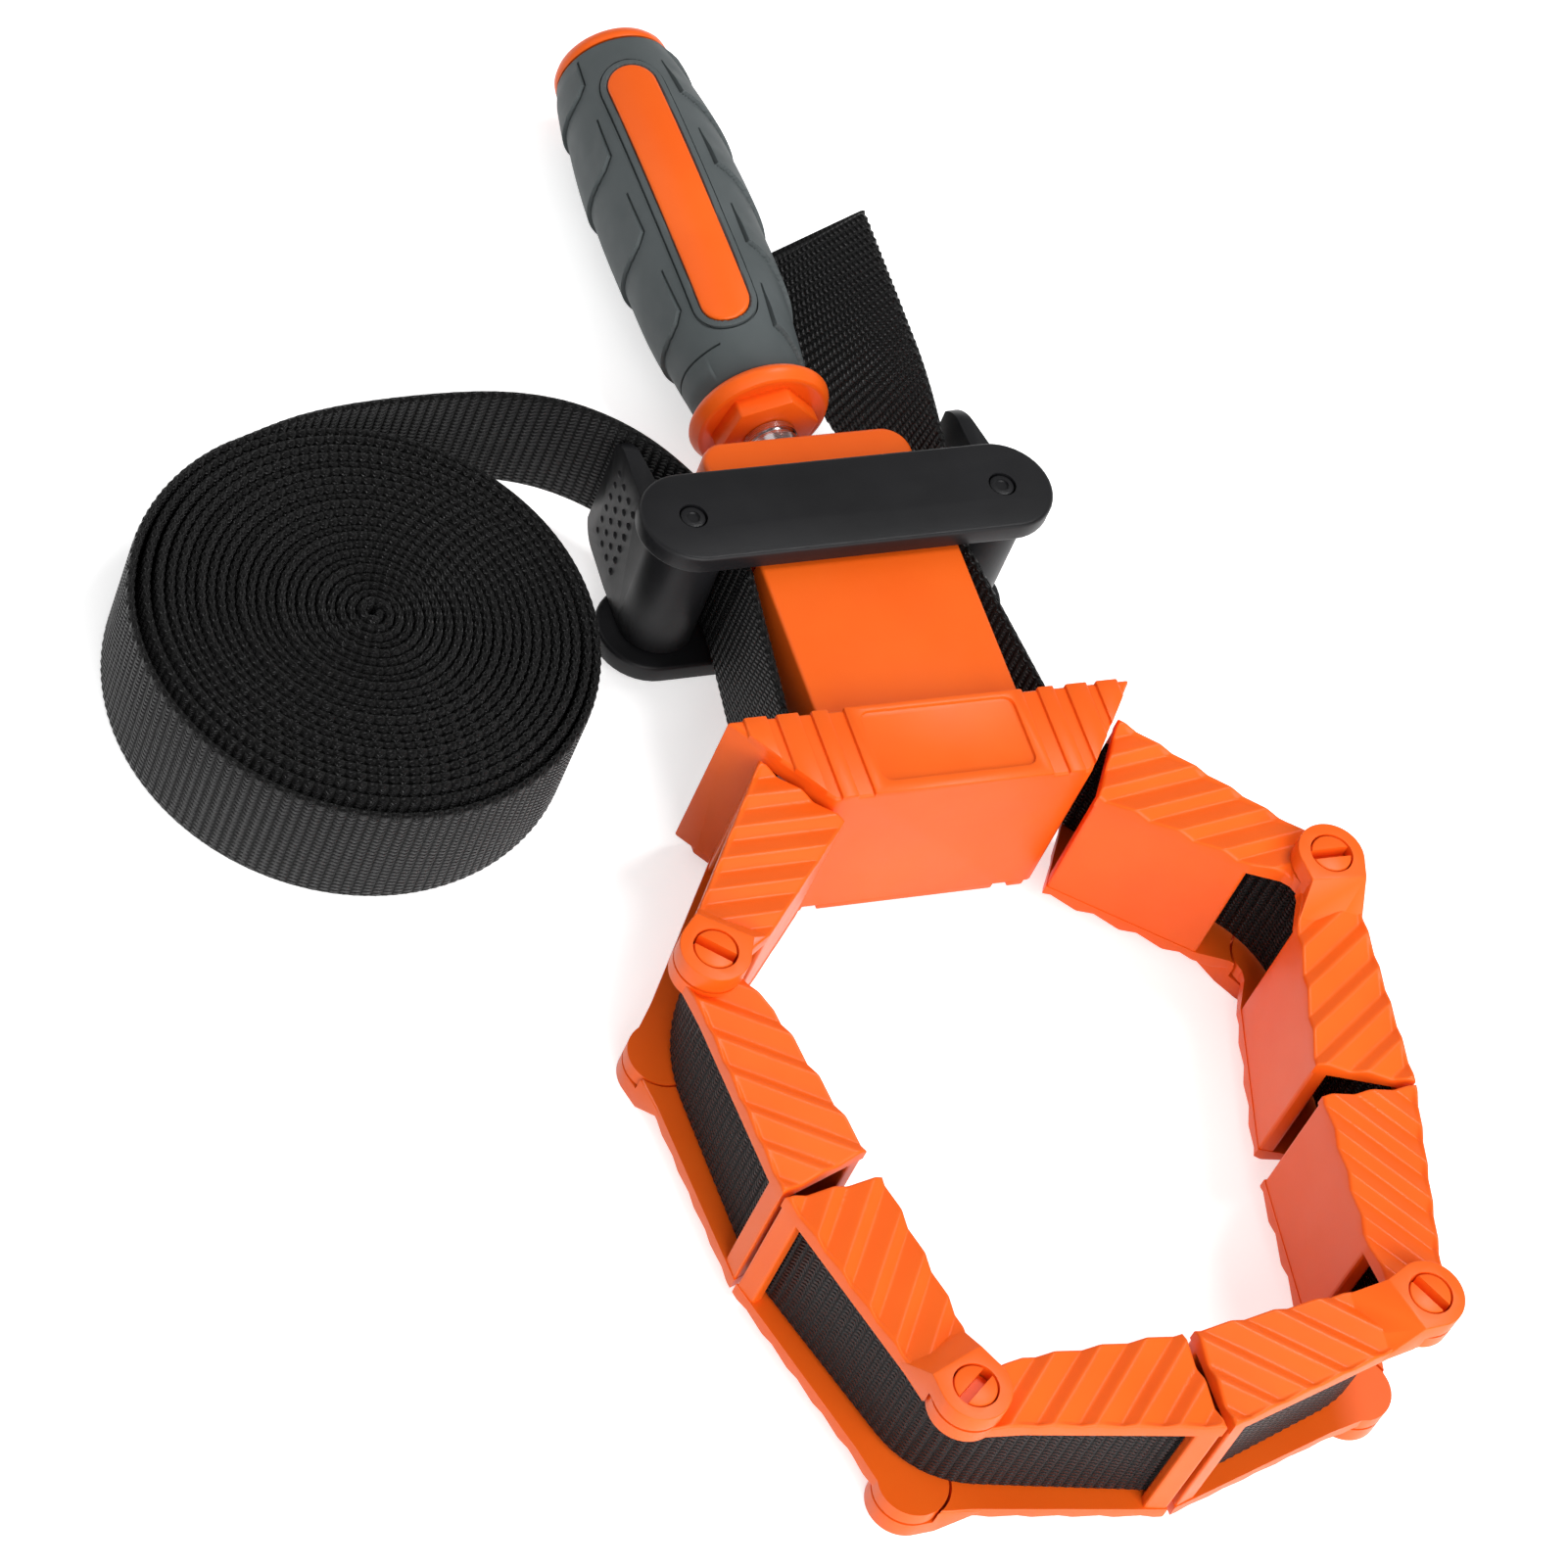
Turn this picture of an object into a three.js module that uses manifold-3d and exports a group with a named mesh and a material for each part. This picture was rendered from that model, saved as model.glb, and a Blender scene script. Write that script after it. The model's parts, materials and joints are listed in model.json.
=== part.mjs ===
// Screw-tensioned band clamp lying flat: a head with a hollow stem, a crossbar with two cam levers, a
// handle on a spindle, four hinged corner jaws and one long woven band.
// Millimetres, +Z up, +Y along the spindle towards the handle. The origin is the centre of the head's
// flat work face, at mid height.
import * as THREE from 'three';
import { mergeVertices } from 'three/addons/utils/BufferGeometryUtils.js';
import Module from 'manifold-3d';

const wasm = await Module();
wasm.setup();

const GAP = 0.3; // clearance between neighbouring pieces
const SEGMENTS = 28; // sides of a round solid
const FAR = 400; // past every piece, for cuts that run right through
const OVERLAP = 1; // how far joined solids run into each other

// Woven band
const BAND_WIDTH = 25;
const BAND_THICK = 1.2;
const BAND_PLAY = 0.8; // between the band's edges and a jaw's flanges

// Jaw leaf, measured from its hinge pin: u runs to the free end, v runs towards the work
const PIN_TO_FLEX = 45.4; // hinge pin to the point where the band bends between two jaws
const JOINT_GAP = 1.7; // between the end faces of neighbouring leaves
const END_MITRE = rad(15.5);
const FLANGE_THICK = 3.4; // ribs included
const JAW_HALF = BAND_WIDTH / 2 + BAND_PLAY + FLANGE_THICK; // half height over the ribs
const LEAF_ROOT = 2; // u where the flanges start, under the ears
const LEAF_ROOT_HALF = 5.6;
const NECK = [5, 5.8]; // u and v of the bend in the edge beside the ear
const OUTER_ROOT = 10; // u where the outer edge turns towards the ear
const OUTER_EDGE_END = -3.6; // v of the outer edge at the free end
const OUTER_EDGE_ROOT = -4.8; // v of the outer edge beside the ear
const WORK_FACE_END = 14.4; // v of the work face at the free end
const WORK_FACE_ROOT = 8.5; // v of the work face where it stops, beside the ear
const WALL_ROOT = 11; // u where the work face stops
const WALL_THICK = 3;
const BRIDGE_LENGTH = 4.5; // along u, the bar that closes the free end on the outer side
const BRIDGE_PLAY = 0.5; // from the bar to the band
const RIB_PITCH = 6;
const RIB_HEIGHT = 0.9;
const RIB_STEPS = [0.02, 0.34, 0.66, 0.92]; // foot, crest, crest and foot of a rib, in shares of the pitch
const RIB_ANGLE = rad(55);
const EAR_RADIUS = 6.4;
const EAR_PLAY = 0.5; // round the neighbour's ear
const EAR_SINK = 0.6; // how far the raised ear's neck stops above the inside of the flange
const RAMP_SINK = 0.4; // how far the ramp ends below the ribs
const EAR_RISE = 4.2; // outer ear over the flange, its clearance included
const RAMP_START = 5.4; // the outer ear falls to the flange between these
const RAMP_END = 12;
const BOSS_RADIUS = 3.8;
const BOSS_SLOT = 1.9;
const BOSS_SLOT_DEPTH = 2.6;
const BOSS_SLOT_ANGLE = rad(47); // from u

// Head: a flanged block with mitred ends
const HEAD_REAR_HALF = 40.2;
const HEAD_FRONT_HALF = 25.4;
const HEAD_DEPTH = 18.7;
const HEAD_FLANGE = 4;
const HEAD_PLAY = 1.5; // between the band's edges and the head's flanges
const HEAD_HALF = BAND_WIDTH / 2 + HEAD_PLAY + HEAD_FLANGE; // half height, without its ridges
const HEAD_WALL = 3.6;
const HEAD_RIDGE = 0.7;
const PANEL_HALF = 15.3; // bare panel sunk into a raised frame
const PANEL_FRONT = 2.5;
const PANEL_REAR_RIM = 1.3;
const PANEL_REAR = HEAD_DEPTH - PANEL_REAR_RIM;
const PANEL_CORNER = 2;
const FRAME_HALF = 17.8;
const RIDGES = [[20.9, 24.2], [26.6, 31], [32.8, 37.3]]; // from the middle, on both sides
const CORNER_EASE = 1.5; // slant on the inner corner of the rear wall
const FLEX_FROM_REAR = 12; // along the mitred end, from the rear corner to the bending point
const FLEX_FROM_FACE = 0.5; // from the mitred end out to the bending point

// The tensioner (slide block, crossbar, spindle and handle) is drawn straight and then leans, within its
// play in the stem: the handle hangs a little and points a little to the left
const LEAN_DOWN = rad(2.2);
const LEAN_LEFT = rad(0.9);
const LEAN_PIVOT_Y = 42;

// Stem, slide block and spindle, all on the Y axis
const STEM_HALF_WIDTH = 20.3;
const STEM_HALF = 13;
const STEM_END = 56;
const STEM_SINK = 1.5; // overlap of the stem, its post and the head
const STEM_FLOOR = HEAD_DEPTH - STEM_SINK; // where the stem's hollow starts
const STEM_WALL = 2.25;
const TONGUE_PLAY_WIDE = 0.75;
const TONGUE_PLAY_TALL = 1.2;
const TONGUE_HALF_WIDTH = STEM_HALF_WIDTH - STEM_WALL - TONGUE_PLAY_WIDE;
const TONGUE_HALF = 9.5;
const TONGUE_START = 19;
const BLOCK_PROUD = 1; // how far the block's sides stand out past the stem's
const BLOCK_HALF_WIDTH = STEM_HALF_WIDTH + BLOCK_PROUD;
const BLOCK_HALF = 11.2;
const BLOCK_PLAY = 1.2; // from the stem's end to the block
const BLOCK_START = STEM_END + BLOCK_PLAY;
const BLOCK_END = 85.2;
const BLOCK_CORNER = 5;
const BLOCK_WALL_START = 72; // the rear wall that takes the thrust
const PAD_HALF_WIDTH = 14;
const POST_RADIUS = 7.5; // nut post inside the stem
const POST_END = 47;
const NUT_RADIUS = 6;
const NUT_LENGTH = 9.5;
const SPINDLE_RADIUS = 3.9;
const SPINDLE_PLAY = 0.5; // in the post
const RING_THICK = 2.7;
const RING_PLAY = 0.6;
const SPINDLE_TIP = 20;
const COLLAR_RADIUS = 5.2;

// Crossbar
const PINCH_X = BLOCK_HALF_WIDTH + GAP + BAND_THICK / 2; // middle of the band where a cam pinches it
const CAM_PLAY = 0.4; // from the released cam to the band
const CAM_RADIUS = 7.4;
const CAM_OFFSET = 0.9; // centre of the cam from its pin, towards the band
const CAM_PIN_X = PINCH_X + BAND_THICK / 2 + CAM_PLAY + CAM_RADIUS + CAM_OFFSET;
const CAM_PIN_Y = 63.5;
const PLATE_RADIUS = 10.1;
const PLATE_THICK = 4.2;
const CAM_PIN_RADIUS = 2.4;
const CAM_PROUD = 0.9; // how far a cam reaches past the band's edges
const LEVER_HALF = BAND_WIDTH / 2 + CAM_PROUD;
const LEVER_PLAY = 0.7; // from a lever to the plates
const PLATE_INNER = LEVER_HALF + LEVER_PLAY;
const ARM_LENGTH = 25.1; // lever arm, from the pin
const ARM_ROOT = 10; // where its sides turn
const ARM_OUTER = [6.4, 5.4, 3.4]; // its outer face: at the pin, at the root and at the tip
const ARM_INNER = [0, 0.8, 1.2]; // its inner face, the same way
const ARM_TIP = 2.4;
const ARM_TIP_ROUND = 1;
const LEVER_CORNER = 6;
const LEVER_REST = { left: rad(4), right: rad(3) }; // both levers lie turned a little to the left

// Handle
const HEX_START = 93.8;
const HEX_RADIUS = 10.2;
const FERRULE_START = 97;
const FERRULE_RADIUS = 14;
const FERRULE_EASE = 1.4; // taken off its two edges
const FERRULE_FRONT = 2; // where its rim starts, ends and has fallen, from its front
const FERRULE_RIM = 2.9;
const FERRULE_FALL = 4.2;
const FERRULE_REAR = 11;
const GRIP_START = 102.3;
const GRIP_END = 186.5;
const GRIP_SWELL = [ // distance from the grip's front end, and radius
  [0, 11], [5.4, 11.8], [10.4, 12.6], [21.9, 14.1], [33.4, 14.7],
  [47.4, 15.2], [61.4, 14.9], [73.4, 13.8], [GRIP_END - GRIP_START, 12.3],
];
const HANDLE_END = 190.2;
const CAP_RADII = [11.8, 11.6, 10];
const CAP_RIM = 2;
const SOCKET_END = 150; // the spindle's socket in the handle
const CORE_RADIUS = 9.4;
const INLAY_START = 113.6;
const INLAY_END = 177.9;
const INLAY_HALF_WIDTH = 5;
const INLAY_ROUND = 0.99; // radius of its round ends, in shares of its half width
const INLAY_ROLL = rad(-17.8); // the inlay faces up and to the left at rest

// The jaw ring as it lies: leaf directions at the head and the turns that close the ring
const RIGHT_LEAF_ANGLE = rad(-47.7);
const LEFT_LEAF_ANGLE = rad(180 + 55.6);
const TURN_AB = rad(13.404); // the band's turn between two jaws
const TURN_BC = rad(28.213);
const TURN_CD = rad(17.185);
const FAR_TILT = rad(2.148); // from the left far pin to the right one
const KNUCKLE_BEND = 11; // the band starts to bend this far from a hinge pin

// Band beside the stem, on the right; the left side is its mirror image
const CAM_FRONT = 9; // the band leaves the cam this far in front of the pin
const CAM_REAR = 4; // and is straight this far behind it
const CAM_FRONT_Y = CAM_PIN_Y - CAM_FRONT;
const CAM_REAR_Y = CAM_PIN_Y + CAM_REAR;
const HEAD_CORNER = 8; // the band inside the head bends over a corner this far before its bending point
const MOUTH_PLAY = 0.88; // from that corner to the head's rear corner wall
const BAND_MOUTH = headEnd(1)[0] + HEAD_CORNER * Math.cos(LEFT_LEAF_ANGLE) + MOUTH_PLAY;
const BAND_SHARE = 0.62; // where the band lies between the stem and that wall
const MOUTH_DEPTH = 2; // behind the head
const MOUTH = [STEM_HALF_WIDTH + BAND_SHARE * (BAND_MOUTH - STEM_HALF_WIDTH), HEAD_DEPTH + MOUTH_DEPTH];

// Long end of the band, wound flat on the floor beside the clamp
const FLOOR = -(JAW_HALF + EAR_RISE);
const COIL_REACH = 70.8; // from the pinched band to the coil's centre
const COIL_CENTRE = [-PINCH_X - COIL_REACH, 57.2];
const COIL_INNER = 3;
const COIL_PITCH = 1.65;
const COIL_LOOPS = 23.7;
const COIL_LOOSE = 1.7; // extra radius won by the last, loose loop
const COIL_END_ANGLE = rad(110);
const COIL_STEPS = 24;
const LEAD_ROUTE = [ // from the coil round the tip of the left lever: distance out from the pinch, and y
  [69.8, 102.6], [51.8, 104.4], [34.8, 102.2], [23.8, 97.6], [15.4, 91], [8.4, 82.8], [3.4, 74.5],
];
const LEAD_STEPS = 40;
const LEAD_RISE = [0.25, 0.75]; // the shares of the lead between which it rises off the floor
const TAIL_ROUTE = [ // the same way, on the right
  [2, 76], [2.4, 85], [2.1, 98], [1.2, 112], [1, 126], [1.5, 140.3],
];
const TAIL_STEPS = 16;
const TAIL_CUT = 2; // the tail's end is cut at a slant
const TAIL_DROOP = 3; // how far its end hangs down
const TAIL_TWIST = rad(45); // at its end its lower edge is turned this far to the left
const TWIST_SPAN = [0.1, 0.95]; // the shares of the tail between which it turns

const orange = material('#f2641c', 0.42, 0);
const black = material('#25262a', 0.5, 0);
const webbing = material('#1b1918', 0.95, 0);
const rubber = material('#575c5f', 0.75, 0);
const steel = material('#c4c5c6', 0.25, 1);

const clamp = new THREE.Group();
clamp.name = 'band_clamp';
const tensioner = new THREE.Group();
clamp.add(tensioner);
leanTensioner();

function rad(degrees) {
  return (degrees * Math.PI) / 180;
}

function leanTensioner() {
  tensioner.rotation.set(-LEAN_DOWN, 0, LEAN_LEFT, 'ZXY');
  tensioner.position.set(0, -LEAN_PIVOT_Y, 0).applyEuler(tensioner.rotation);
  tensioner.position.y += LEAN_PIVOT_Y;
  tensioner.updateMatrix();
}

function material(color, roughness, metalness) {
  return new THREE.MeshStandardMaterial({ color, roughness, metalness });
}

// Solids

function solid(geometry) {
  geometry.deleteAttribute('normal');
  geometry.deleteAttribute('uv');
  const merged = mergeVertices(geometry, 1e-4);
  const vertProperties = new Float32Array(merged.attributes.position.array);
  const triVerts = new Uint32Array(merged.index.array);
  return new wasm.Manifold(new wasm.Mesh({ numProp: 3, vertProperties, triVerts }));
}

function prismGeometry(points, low, high) {
  const shape = new THREE.Shape(points.map(([x, y]) => new THREE.Vector2(x, y)));
  const geometry = new THREE.ExtrudeGeometry(shape, { depth: high - low, bevelEnabled: false });
  return geometry.translate(0, 0, low);
}

function prism(points, low, high) {
  return solid(prismGeometry(points, low, high));
}

function box(x0, x1, y0, y1, z0, z1) {
  const geometry = new THREE.BoxGeometry(x1 - x0, y1 - y0, z1 - z0);
  return solid(geometry.translate((x0 + x1) / 2, (y0 + y1) / 2, (z0 + z1) / 2));
}

// Rod along Y on the spindle's axis, with a corner at the given roll from the top
function shaft(radius, y0, y1, sides = SEGMENTS, roll = 0) {
  const geometry = new THREE.CylinderGeometry(radius, radius, y1 - y0, sides, 1, false, roll);
  return solid(geometry.translate(0, (y0 + y1) / 2, 0));
}

// The same rod, leaning with the tensioner
function leaningShaft(radius, y0, y1) {
  const geometry = new THREE.CylinderGeometry(radius, radius, y1 - y0, SEGMENTS);
  return solid(geometry.translate(0, (y0 + y1) / 2, 0).applyMatrix4(tensioner.matrix));
}

// Round rod along Z
function post(radius, x, y, z0, z1) {
  const geometry = new THREE.CylinderGeometry(radius, radius, z1 - z0, SEGMENTS).rotateX(Math.PI / 2);
  return solid(geometry.translate(x, y, (z0 + z1) / 2));
}

function turned(profile) {
  return solid(new THREE.LatheGeometry(profile.map(([r, y]) => new THREE.Vector2(r, y)), SEGMENTS + 4));
}

function arc(x, y, radius, from, to, steps) {
  const points = [];
  for (let i = 0; i <= steps; i++) {
    const angle = from + ((to - from) * i) / steps;
    points.push([x + radius * Math.cos(angle), y + radius * Math.sin(angle)]);
  }
  return points;
}

function roundedRect(x0, x1, y0, y1, radius, steps) {
  return [
    ...arc(x1 - radius, y1 - radius, radius, 0, Math.PI / 2, steps),
    ...arc(x0 + radius, y1 - radius, radius, Math.PI / 2, Math.PI, steps),
    ...arc(x0 + radius, y0 + radius, radius, Math.PI, 1.5 * Math.PI, steps),
    ...arc(x1 - radius, y0 + radius, radius, 1.5 * Math.PI, 2 * Math.PI, steps),
  ];
}

function add(group, name, body, surface, place) {
  const { vertProperties, triVerts } = body.getMesh();
  const geometry = new THREE.BufferGeometry();
  geometry.setAttribute('position', new THREE.BufferAttribute(new Float32Array(vertProperties), 3));
  geometry.setIndex(new THREE.BufferAttribute(new Uint32Array(triVerts), 1));
  geometry.computeVertexNormals();
  const mesh = new THREE.Mesh(geometry, surface);
  mesh.name = name;
  if (place) mesh.applyMatrix4(place);
  group.add(mesh);
}

// Jaw leaf. All eight are the same moulding; each hinge pairs one with another turned over.

function leafOutline() {
  const end = PIN_TO_FLEX - JOINT_GAP / 2;
  const endAt = (v) => end - v * Math.tan(END_MITRE);
  return [
    [LEAF_ROOT, -LEAF_ROOT_HALF],
    [OUTER_ROOT, OUTER_EDGE_ROOT],
    [endAt(OUTER_EDGE_END), OUTER_EDGE_END],
    [endAt(WORK_FACE_END), WORK_FACE_END],
    [WALL_ROOT, WORK_FACE_ROOT],
    NECK,
    [LEAF_ROOT, LEAF_ROOT_HALF],
  ];
}

// Flange with slanting ribs on its outer face; side is 1 for the upper flange and -1 for the lower one
function ribbedFlange(outline, side) {
  const inner = JAW_HALF - FLANGE_THICK;
  const ribs = Math.ceil(PIN_TO_FLEX / RIB_PITCH);
  const profile = [[-RIB_PITCH, inner], [ribs * RIB_PITCH, inner]];
  for (let i = ribs - 1; i >= -1; i--) {
    const start = i * RIB_PITCH;
    const [foot, crest, crestEnd, footEnd] = RIB_STEPS.map((share) => start + share * RIB_PITCH);
    profile.push([footEnd, JAW_HALF - RIB_HEIGHT]);
    profile.push([crestEnd, JAW_HALF]);
    profile.push([crest, JAW_HALF]);
    profile.push([foot, JAW_HALF - RIB_HEIGHT]);
  }
  const geometry = prismGeometry(profile.map(([across, z]) => [across, side * z]), -FAR, FAR);
  geometry.rotateX(Math.PI / 2);
  geometry.rotateZ(RIB_ANGLE - Math.PI / 2);
  return solid(geometry).intersect(prism(outline, -FAR, FAR));
}

// Upper ear: level with the flange, with a slotted boss standing on it
function bossEar() {
  const inner = JAW_HALF - FLANGE_THICK;
  const top = JAW_HALF + EAR_RISE;
  const ear = post(EAR_RADIUS, 0, 0, inner, JAW_HALF - GAP);
  const boss = post(BOSS_RADIUS, 0, 0, inner, top);
  const slot = new THREE.BoxGeometry(2 * BOSS_RADIUS, BOSS_SLOT, 2 * BOSS_SLOT_DEPTH);
  slot.rotateZ(BOSS_SLOT_ANGLE).translate(0, 0, top);
  return ear.add(boss).subtract(solid(slot));
}

// Lower ear: it stands out past the flange, lies over the neighbour's ear and has the hole for its boss
function holeEar(outline) {
  const inner = JAW_HALF - FLANGE_THICK + EAR_SINK;
  const outer = JAW_HALF + EAR_RISE;
  const rampFoot = RAMP_SINK - JAW_HALF;
  const back = -EAR_RADIUS - OVERLAP;
  const under = [[back, -inner], [RAMP_END, -inner]];
  const over = [[RAMP_END, rampFoot], [RAMP_START, -outer], [back, -outer]];
  const wedge = solid(prismGeometry([...under, ...over], -FAR, FAR).rotateX(Math.PI / 2));
  const plan = prism(outline, -FAR, 0).add(post(EAR_RADIUS, 0, 0, -FAR, 0));
  const clearance = post(EAR_RADIUS + EAR_PLAY, 0, 0, -JAW_HALF - GAP, 0);
  const hole = post(BOSS_RADIUS + GAP, 0, 0, -FAR, 0);
  return plan.intersect(wedge).subtract(clearance).subtract(hole);
}

function leafMoulding() {
  const outline = leafOutline();
  const [bridgeEnd, wallEnd, wallRoot] = outline.slice(2, 5);
  const inner = JAW_HALF - FLANGE_THICK;
  const slope = Math.atan2(WORK_FACE_END - WORK_FACE_ROOT, wallEnd[0] - WALL_ROOT);
  const back = WALL_THICK / Math.cos(slope);
  const wallBack = back * Math.tan(END_MITRE);
  const wall = [
    wallEnd,
    wallRoot,
    [WALL_ROOT, WORK_FACE_ROOT - back],
    [wallEnd[0] + wallBack, WORK_FACE_END - back],
  ];
  const bridgeInner = -BAND_THICK / 2 - BRIDGE_PLAY;
  const bridgeMitre = (OUTER_EDGE_END - bridgeInner) * Math.tan(END_MITRE);
  const bridge = [
    bridgeEnd,
    [bridgeEnd[0] + bridgeMitre, bridgeInner],
    [bridgeEnd[0] - BRIDGE_LENGTH, bridgeInner],
    [bridgeEnd[0] - BRIDGE_LENGTH, OUTER_EDGE_END],
  ];
  const clearance = post(EAR_RADIUS + EAR_PLAY, 0, 0, -FAR, 0);
  return ribbedFlange(outline, 1)
    .add(bossEar())
    .add(ribbedFlange(outline, -1).subtract(clearance))
    .add(holeEar(outline))
    .add(prism(wall, -inner - OVERLAP, inner + OVERLAP))
    .add(prism(bridge, -inner - OVERLAP, inner + OVERLAP));
}

// The ring of jaws in plan

function polar(from, angle, length) {
  return [from[0] + length * Math.cos(angle), from[1] + length * Math.sin(angle)];
}

function headEnd(side) {
  const run = HEAD_REAR_HALF - HEAD_FRONT_HALF;
  const length = Math.hypot(run, HEAD_DEPTH);
  const x = HEAD_REAR_HALF - (FLEX_FROM_REAR * run) / length + (FLEX_FROM_FACE * HEAD_DEPTH) / length;
  const y = HEAD_DEPTH - (FLEX_FROM_REAR * HEAD_DEPTH) / length - (FLEX_FROM_FACE * run) / length;
  return [side * x, y];
}

// Bending point between two hinge pins, on the side away from the work
function flexBetween(p, q) {
  const dx = q[0] - p[0];
  const dy = q[1] - p[1];
  const half = Math.hypot(dx, dy) / 2;
  const rise = Math.sqrt(PIN_TO_FLEX ** 2 - half ** 2);
  return [(p[0] + q[0]) / 2 - (rise * dy) / (2 * half), (p[1] + q[1]) / 2 + (rise * dx) / (2 * half)];
}

// Where two arcs about p and q meet, on the side away from the head
function crossing(p, pReach, q, qReach) {
  const dx = q[0] - p[0];
  const dy = q[1] - p[1];
  const span = Math.hypot(dx, dy);
  const along = (pReach ** 2 - qReach ** 2 + span ** 2) / (2 * span);
  const off = Math.sqrt(pReach ** 2 - along ** 2) * Math.sign(dx);
  return [p[0] + (along * dx + off * dy) / span, p[1] + (along * dy - off * dx) / span];
}

function ringPlan() {
  const right = headEnd(1);
  const left = headEnd(-1);
  const pinA = polar(right, RIGHT_LEAF_ANGLE, PIN_TO_FLEX);
  const pinD = polar(left, LEFT_LEAF_ANGLE, PIN_TO_FLEX);
  const span = (turn) => 2 * PIN_TO_FLEX * Math.cos(turn / 2);
  const pinB = crossing(pinA, span(TURN_AB), polar(pinD, FAR_TILT, span(TURN_BC)), span(TURN_CD));
  const pinC = polar(pinB, FAR_TILT, -span(TURN_BC));
  const flexAB = flexBetween(pinA, pinB);
  const flexBC = flexBetween(pinB, pinC);
  const flexCD = flexBetween(pinC, pinD);
  return {
    a: { pin: pinA, ends: [right, flexAB] },
    b: { pin: pinB, ends: [flexAB, flexBC] },
    c: { pin: pinC, ends: [flexBC, flexCD] },
    d: { pin: pinD, ends: [flexCD, left] },
  };
}

// The first leaf of a jaw lies boss upwards, the second one is turned over
function leafPlace(pin, end, first) {
  const u = new THREE.Vector3(end[0] - pin[0], end[1] - pin[1], 0).normalize();
  const z = new THREE.Vector3(0, 0, first ? 1 : -1);
  const v = new THREE.Vector3().crossVectors(z, u);
  return new THREE.Matrix4().makeBasis(u, v, z).setPosition(pin[0], pin[1], 0);
}

// Band pieces: a strip on edge that follows stations [x, y, bottom]. Its end can be cut at a slant, and
// it can twist on the way there, with its lower edge going to the left.

function strip(stations, endCut = 0, endTwist = 0) {
  const position = [];
  const index = [];
  const count = stations.length;
  for (let i = 0; i < count; i++) {
    const before = stations[Math.max(i - 1, 0)];
    const after = stations[Math.min(i + 1, count - 1)];
    const length = Math.hypot(after[0] - before[0], after[1] - before[1]);
    const along = [(after[0] - before[0]) / length, (after[1] - before[1]) / length];
    const [x, y, bottom] = stations[i];
    const cut = i === count - 1 ? endCut : 0;
    const twist = endTwist * THREE.MathUtils.smoothstep(i / (count - 1), ...TWIST_SPAN);
    for (const [side, up] of [[-1, 0], [1, 0], [1, 1], [-1, 1]]) {
      const half = (side * BAND_THICK) / 2;
      const rise = (up - 0.5) * BAND_WIDTH;
      const out = half * Math.cos(twist) - rise * Math.sin(twist);
      const slant = cut * (1 - up);
      position.push(x - along[1] * out + along[0] * slant);
      position.push(y + along[0] * out + along[1] * slant);
      position.push(bottom + BAND_WIDTH / 2 + half * Math.sin(twist) + rise * Math.cos(twist));
    }
  }
  for (let i = 0; i < count - 1; i++) {
    for (let k = 0; k < 4; k++) {
      const a = 4 * i + k;
      const b = 4 * i + ((k + 1) % 4);
      index.push(a, b, b + 4, a, b + 4, a + 4);
    }
  }
  const last = 4 * (count - 1);
  index.push(0, 2, 1, 0, 3, 2, last, last + 1, last + 2, last, last + 2, last + 3);
  const geometry = new THREE.BufferGeometry();
  geometry.setAttribute('position', new THREE.Float32BufferAttribute(position, 3));
  geometry.setIndex(index);
  return solid(geometry);
}

function level(points) {
  return points.map(([x, y]) => [x, y, -BAND_WIDTH / 2]);
}

function bend(from, corner, to, steps) {
  const points = [];
  for (let i = 0; i <= steps; i++) {
    const t = i / steps;
    points.push([0, 1].map((k) => (1 - t) ** 2 * from[k] + 2 * t * (1 - t) * corner[k] + t ** 2 * to[k]));
  }
  return points;
}

// Plan position of a point given on the straight tensioner
function leaned(x, y) {
  const point = new THREE.Vector3(x, y, 0).applyMatrix4(tensioner.matrix);
  return [point.x, point.y];
}

function towards(from, to, distance) {
  const share = distance / Math.hypot(to[0] - from[0], to[1] - from[1]);
  return [from[0] + (to[0] - from[0]) * share, from[1] + (to[1] - from[1]) * share];
}

function addJaws() {
  const moulding = leafMoulding();
  for (const [letter, { pin, ends }] of Object.entries(ringPlan())) {
    ends.forEach((end, i) => {
      add(clamp, `jaw_${letter}${i + 1}`, moulding, orange, leafPlace(pin, end, i === 0));
      const straight = [towards(pin, end, KNUCKLE_BEND + GAP), towards(end, pin, GAP)];
      add(clamp, `band_${letter}${i + 1}`, strip(level(straight)), webbing);
    });
    const [from, to] = ends.map((end) => towards(pin, end, KNUCKLE_BEND));
    add(clamp, `band_knuckle_${letter}`, strip(level(bend(from, pin, to, 8))), webbing);
  }
}

// Head and stem

// Raised ridges and the frame round the plain panel; side is 1 for the top and -1 for the underside
function headRidges(side) {
  const layer = (low, high) => [side * low, side * high].sort((a, b) => a - b);
  const raised = layer(HEAD_HALF - OVERLAP, HEAD_HALF + HEAD_RIDGE);
  const frame = box(-FRAME_HALF, FRAME_HALF, 0, HEAD_DEPTH, ...raised);
  const panel = roundedRect(-PANEL_HALF, PANEL_HALF, PANEL_FRONT, PANEL_REAR, PANEL_CORNER, 3);
  let body = frame.subtract(prism(panel, ...layer(HEAD_HALF, FAR)));
  for (const [inner, outer] of RIDGES) {
    body = body.add(box(inner, outer, 0, HEAD_DEPTH, ...raised));
    body = body.add(box(-outer, -inner, 0, HEAD_DEPTH, ...raised));
  }
  return body.intersect(prism(headOutline(), -FAR, FAR));
}

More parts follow.
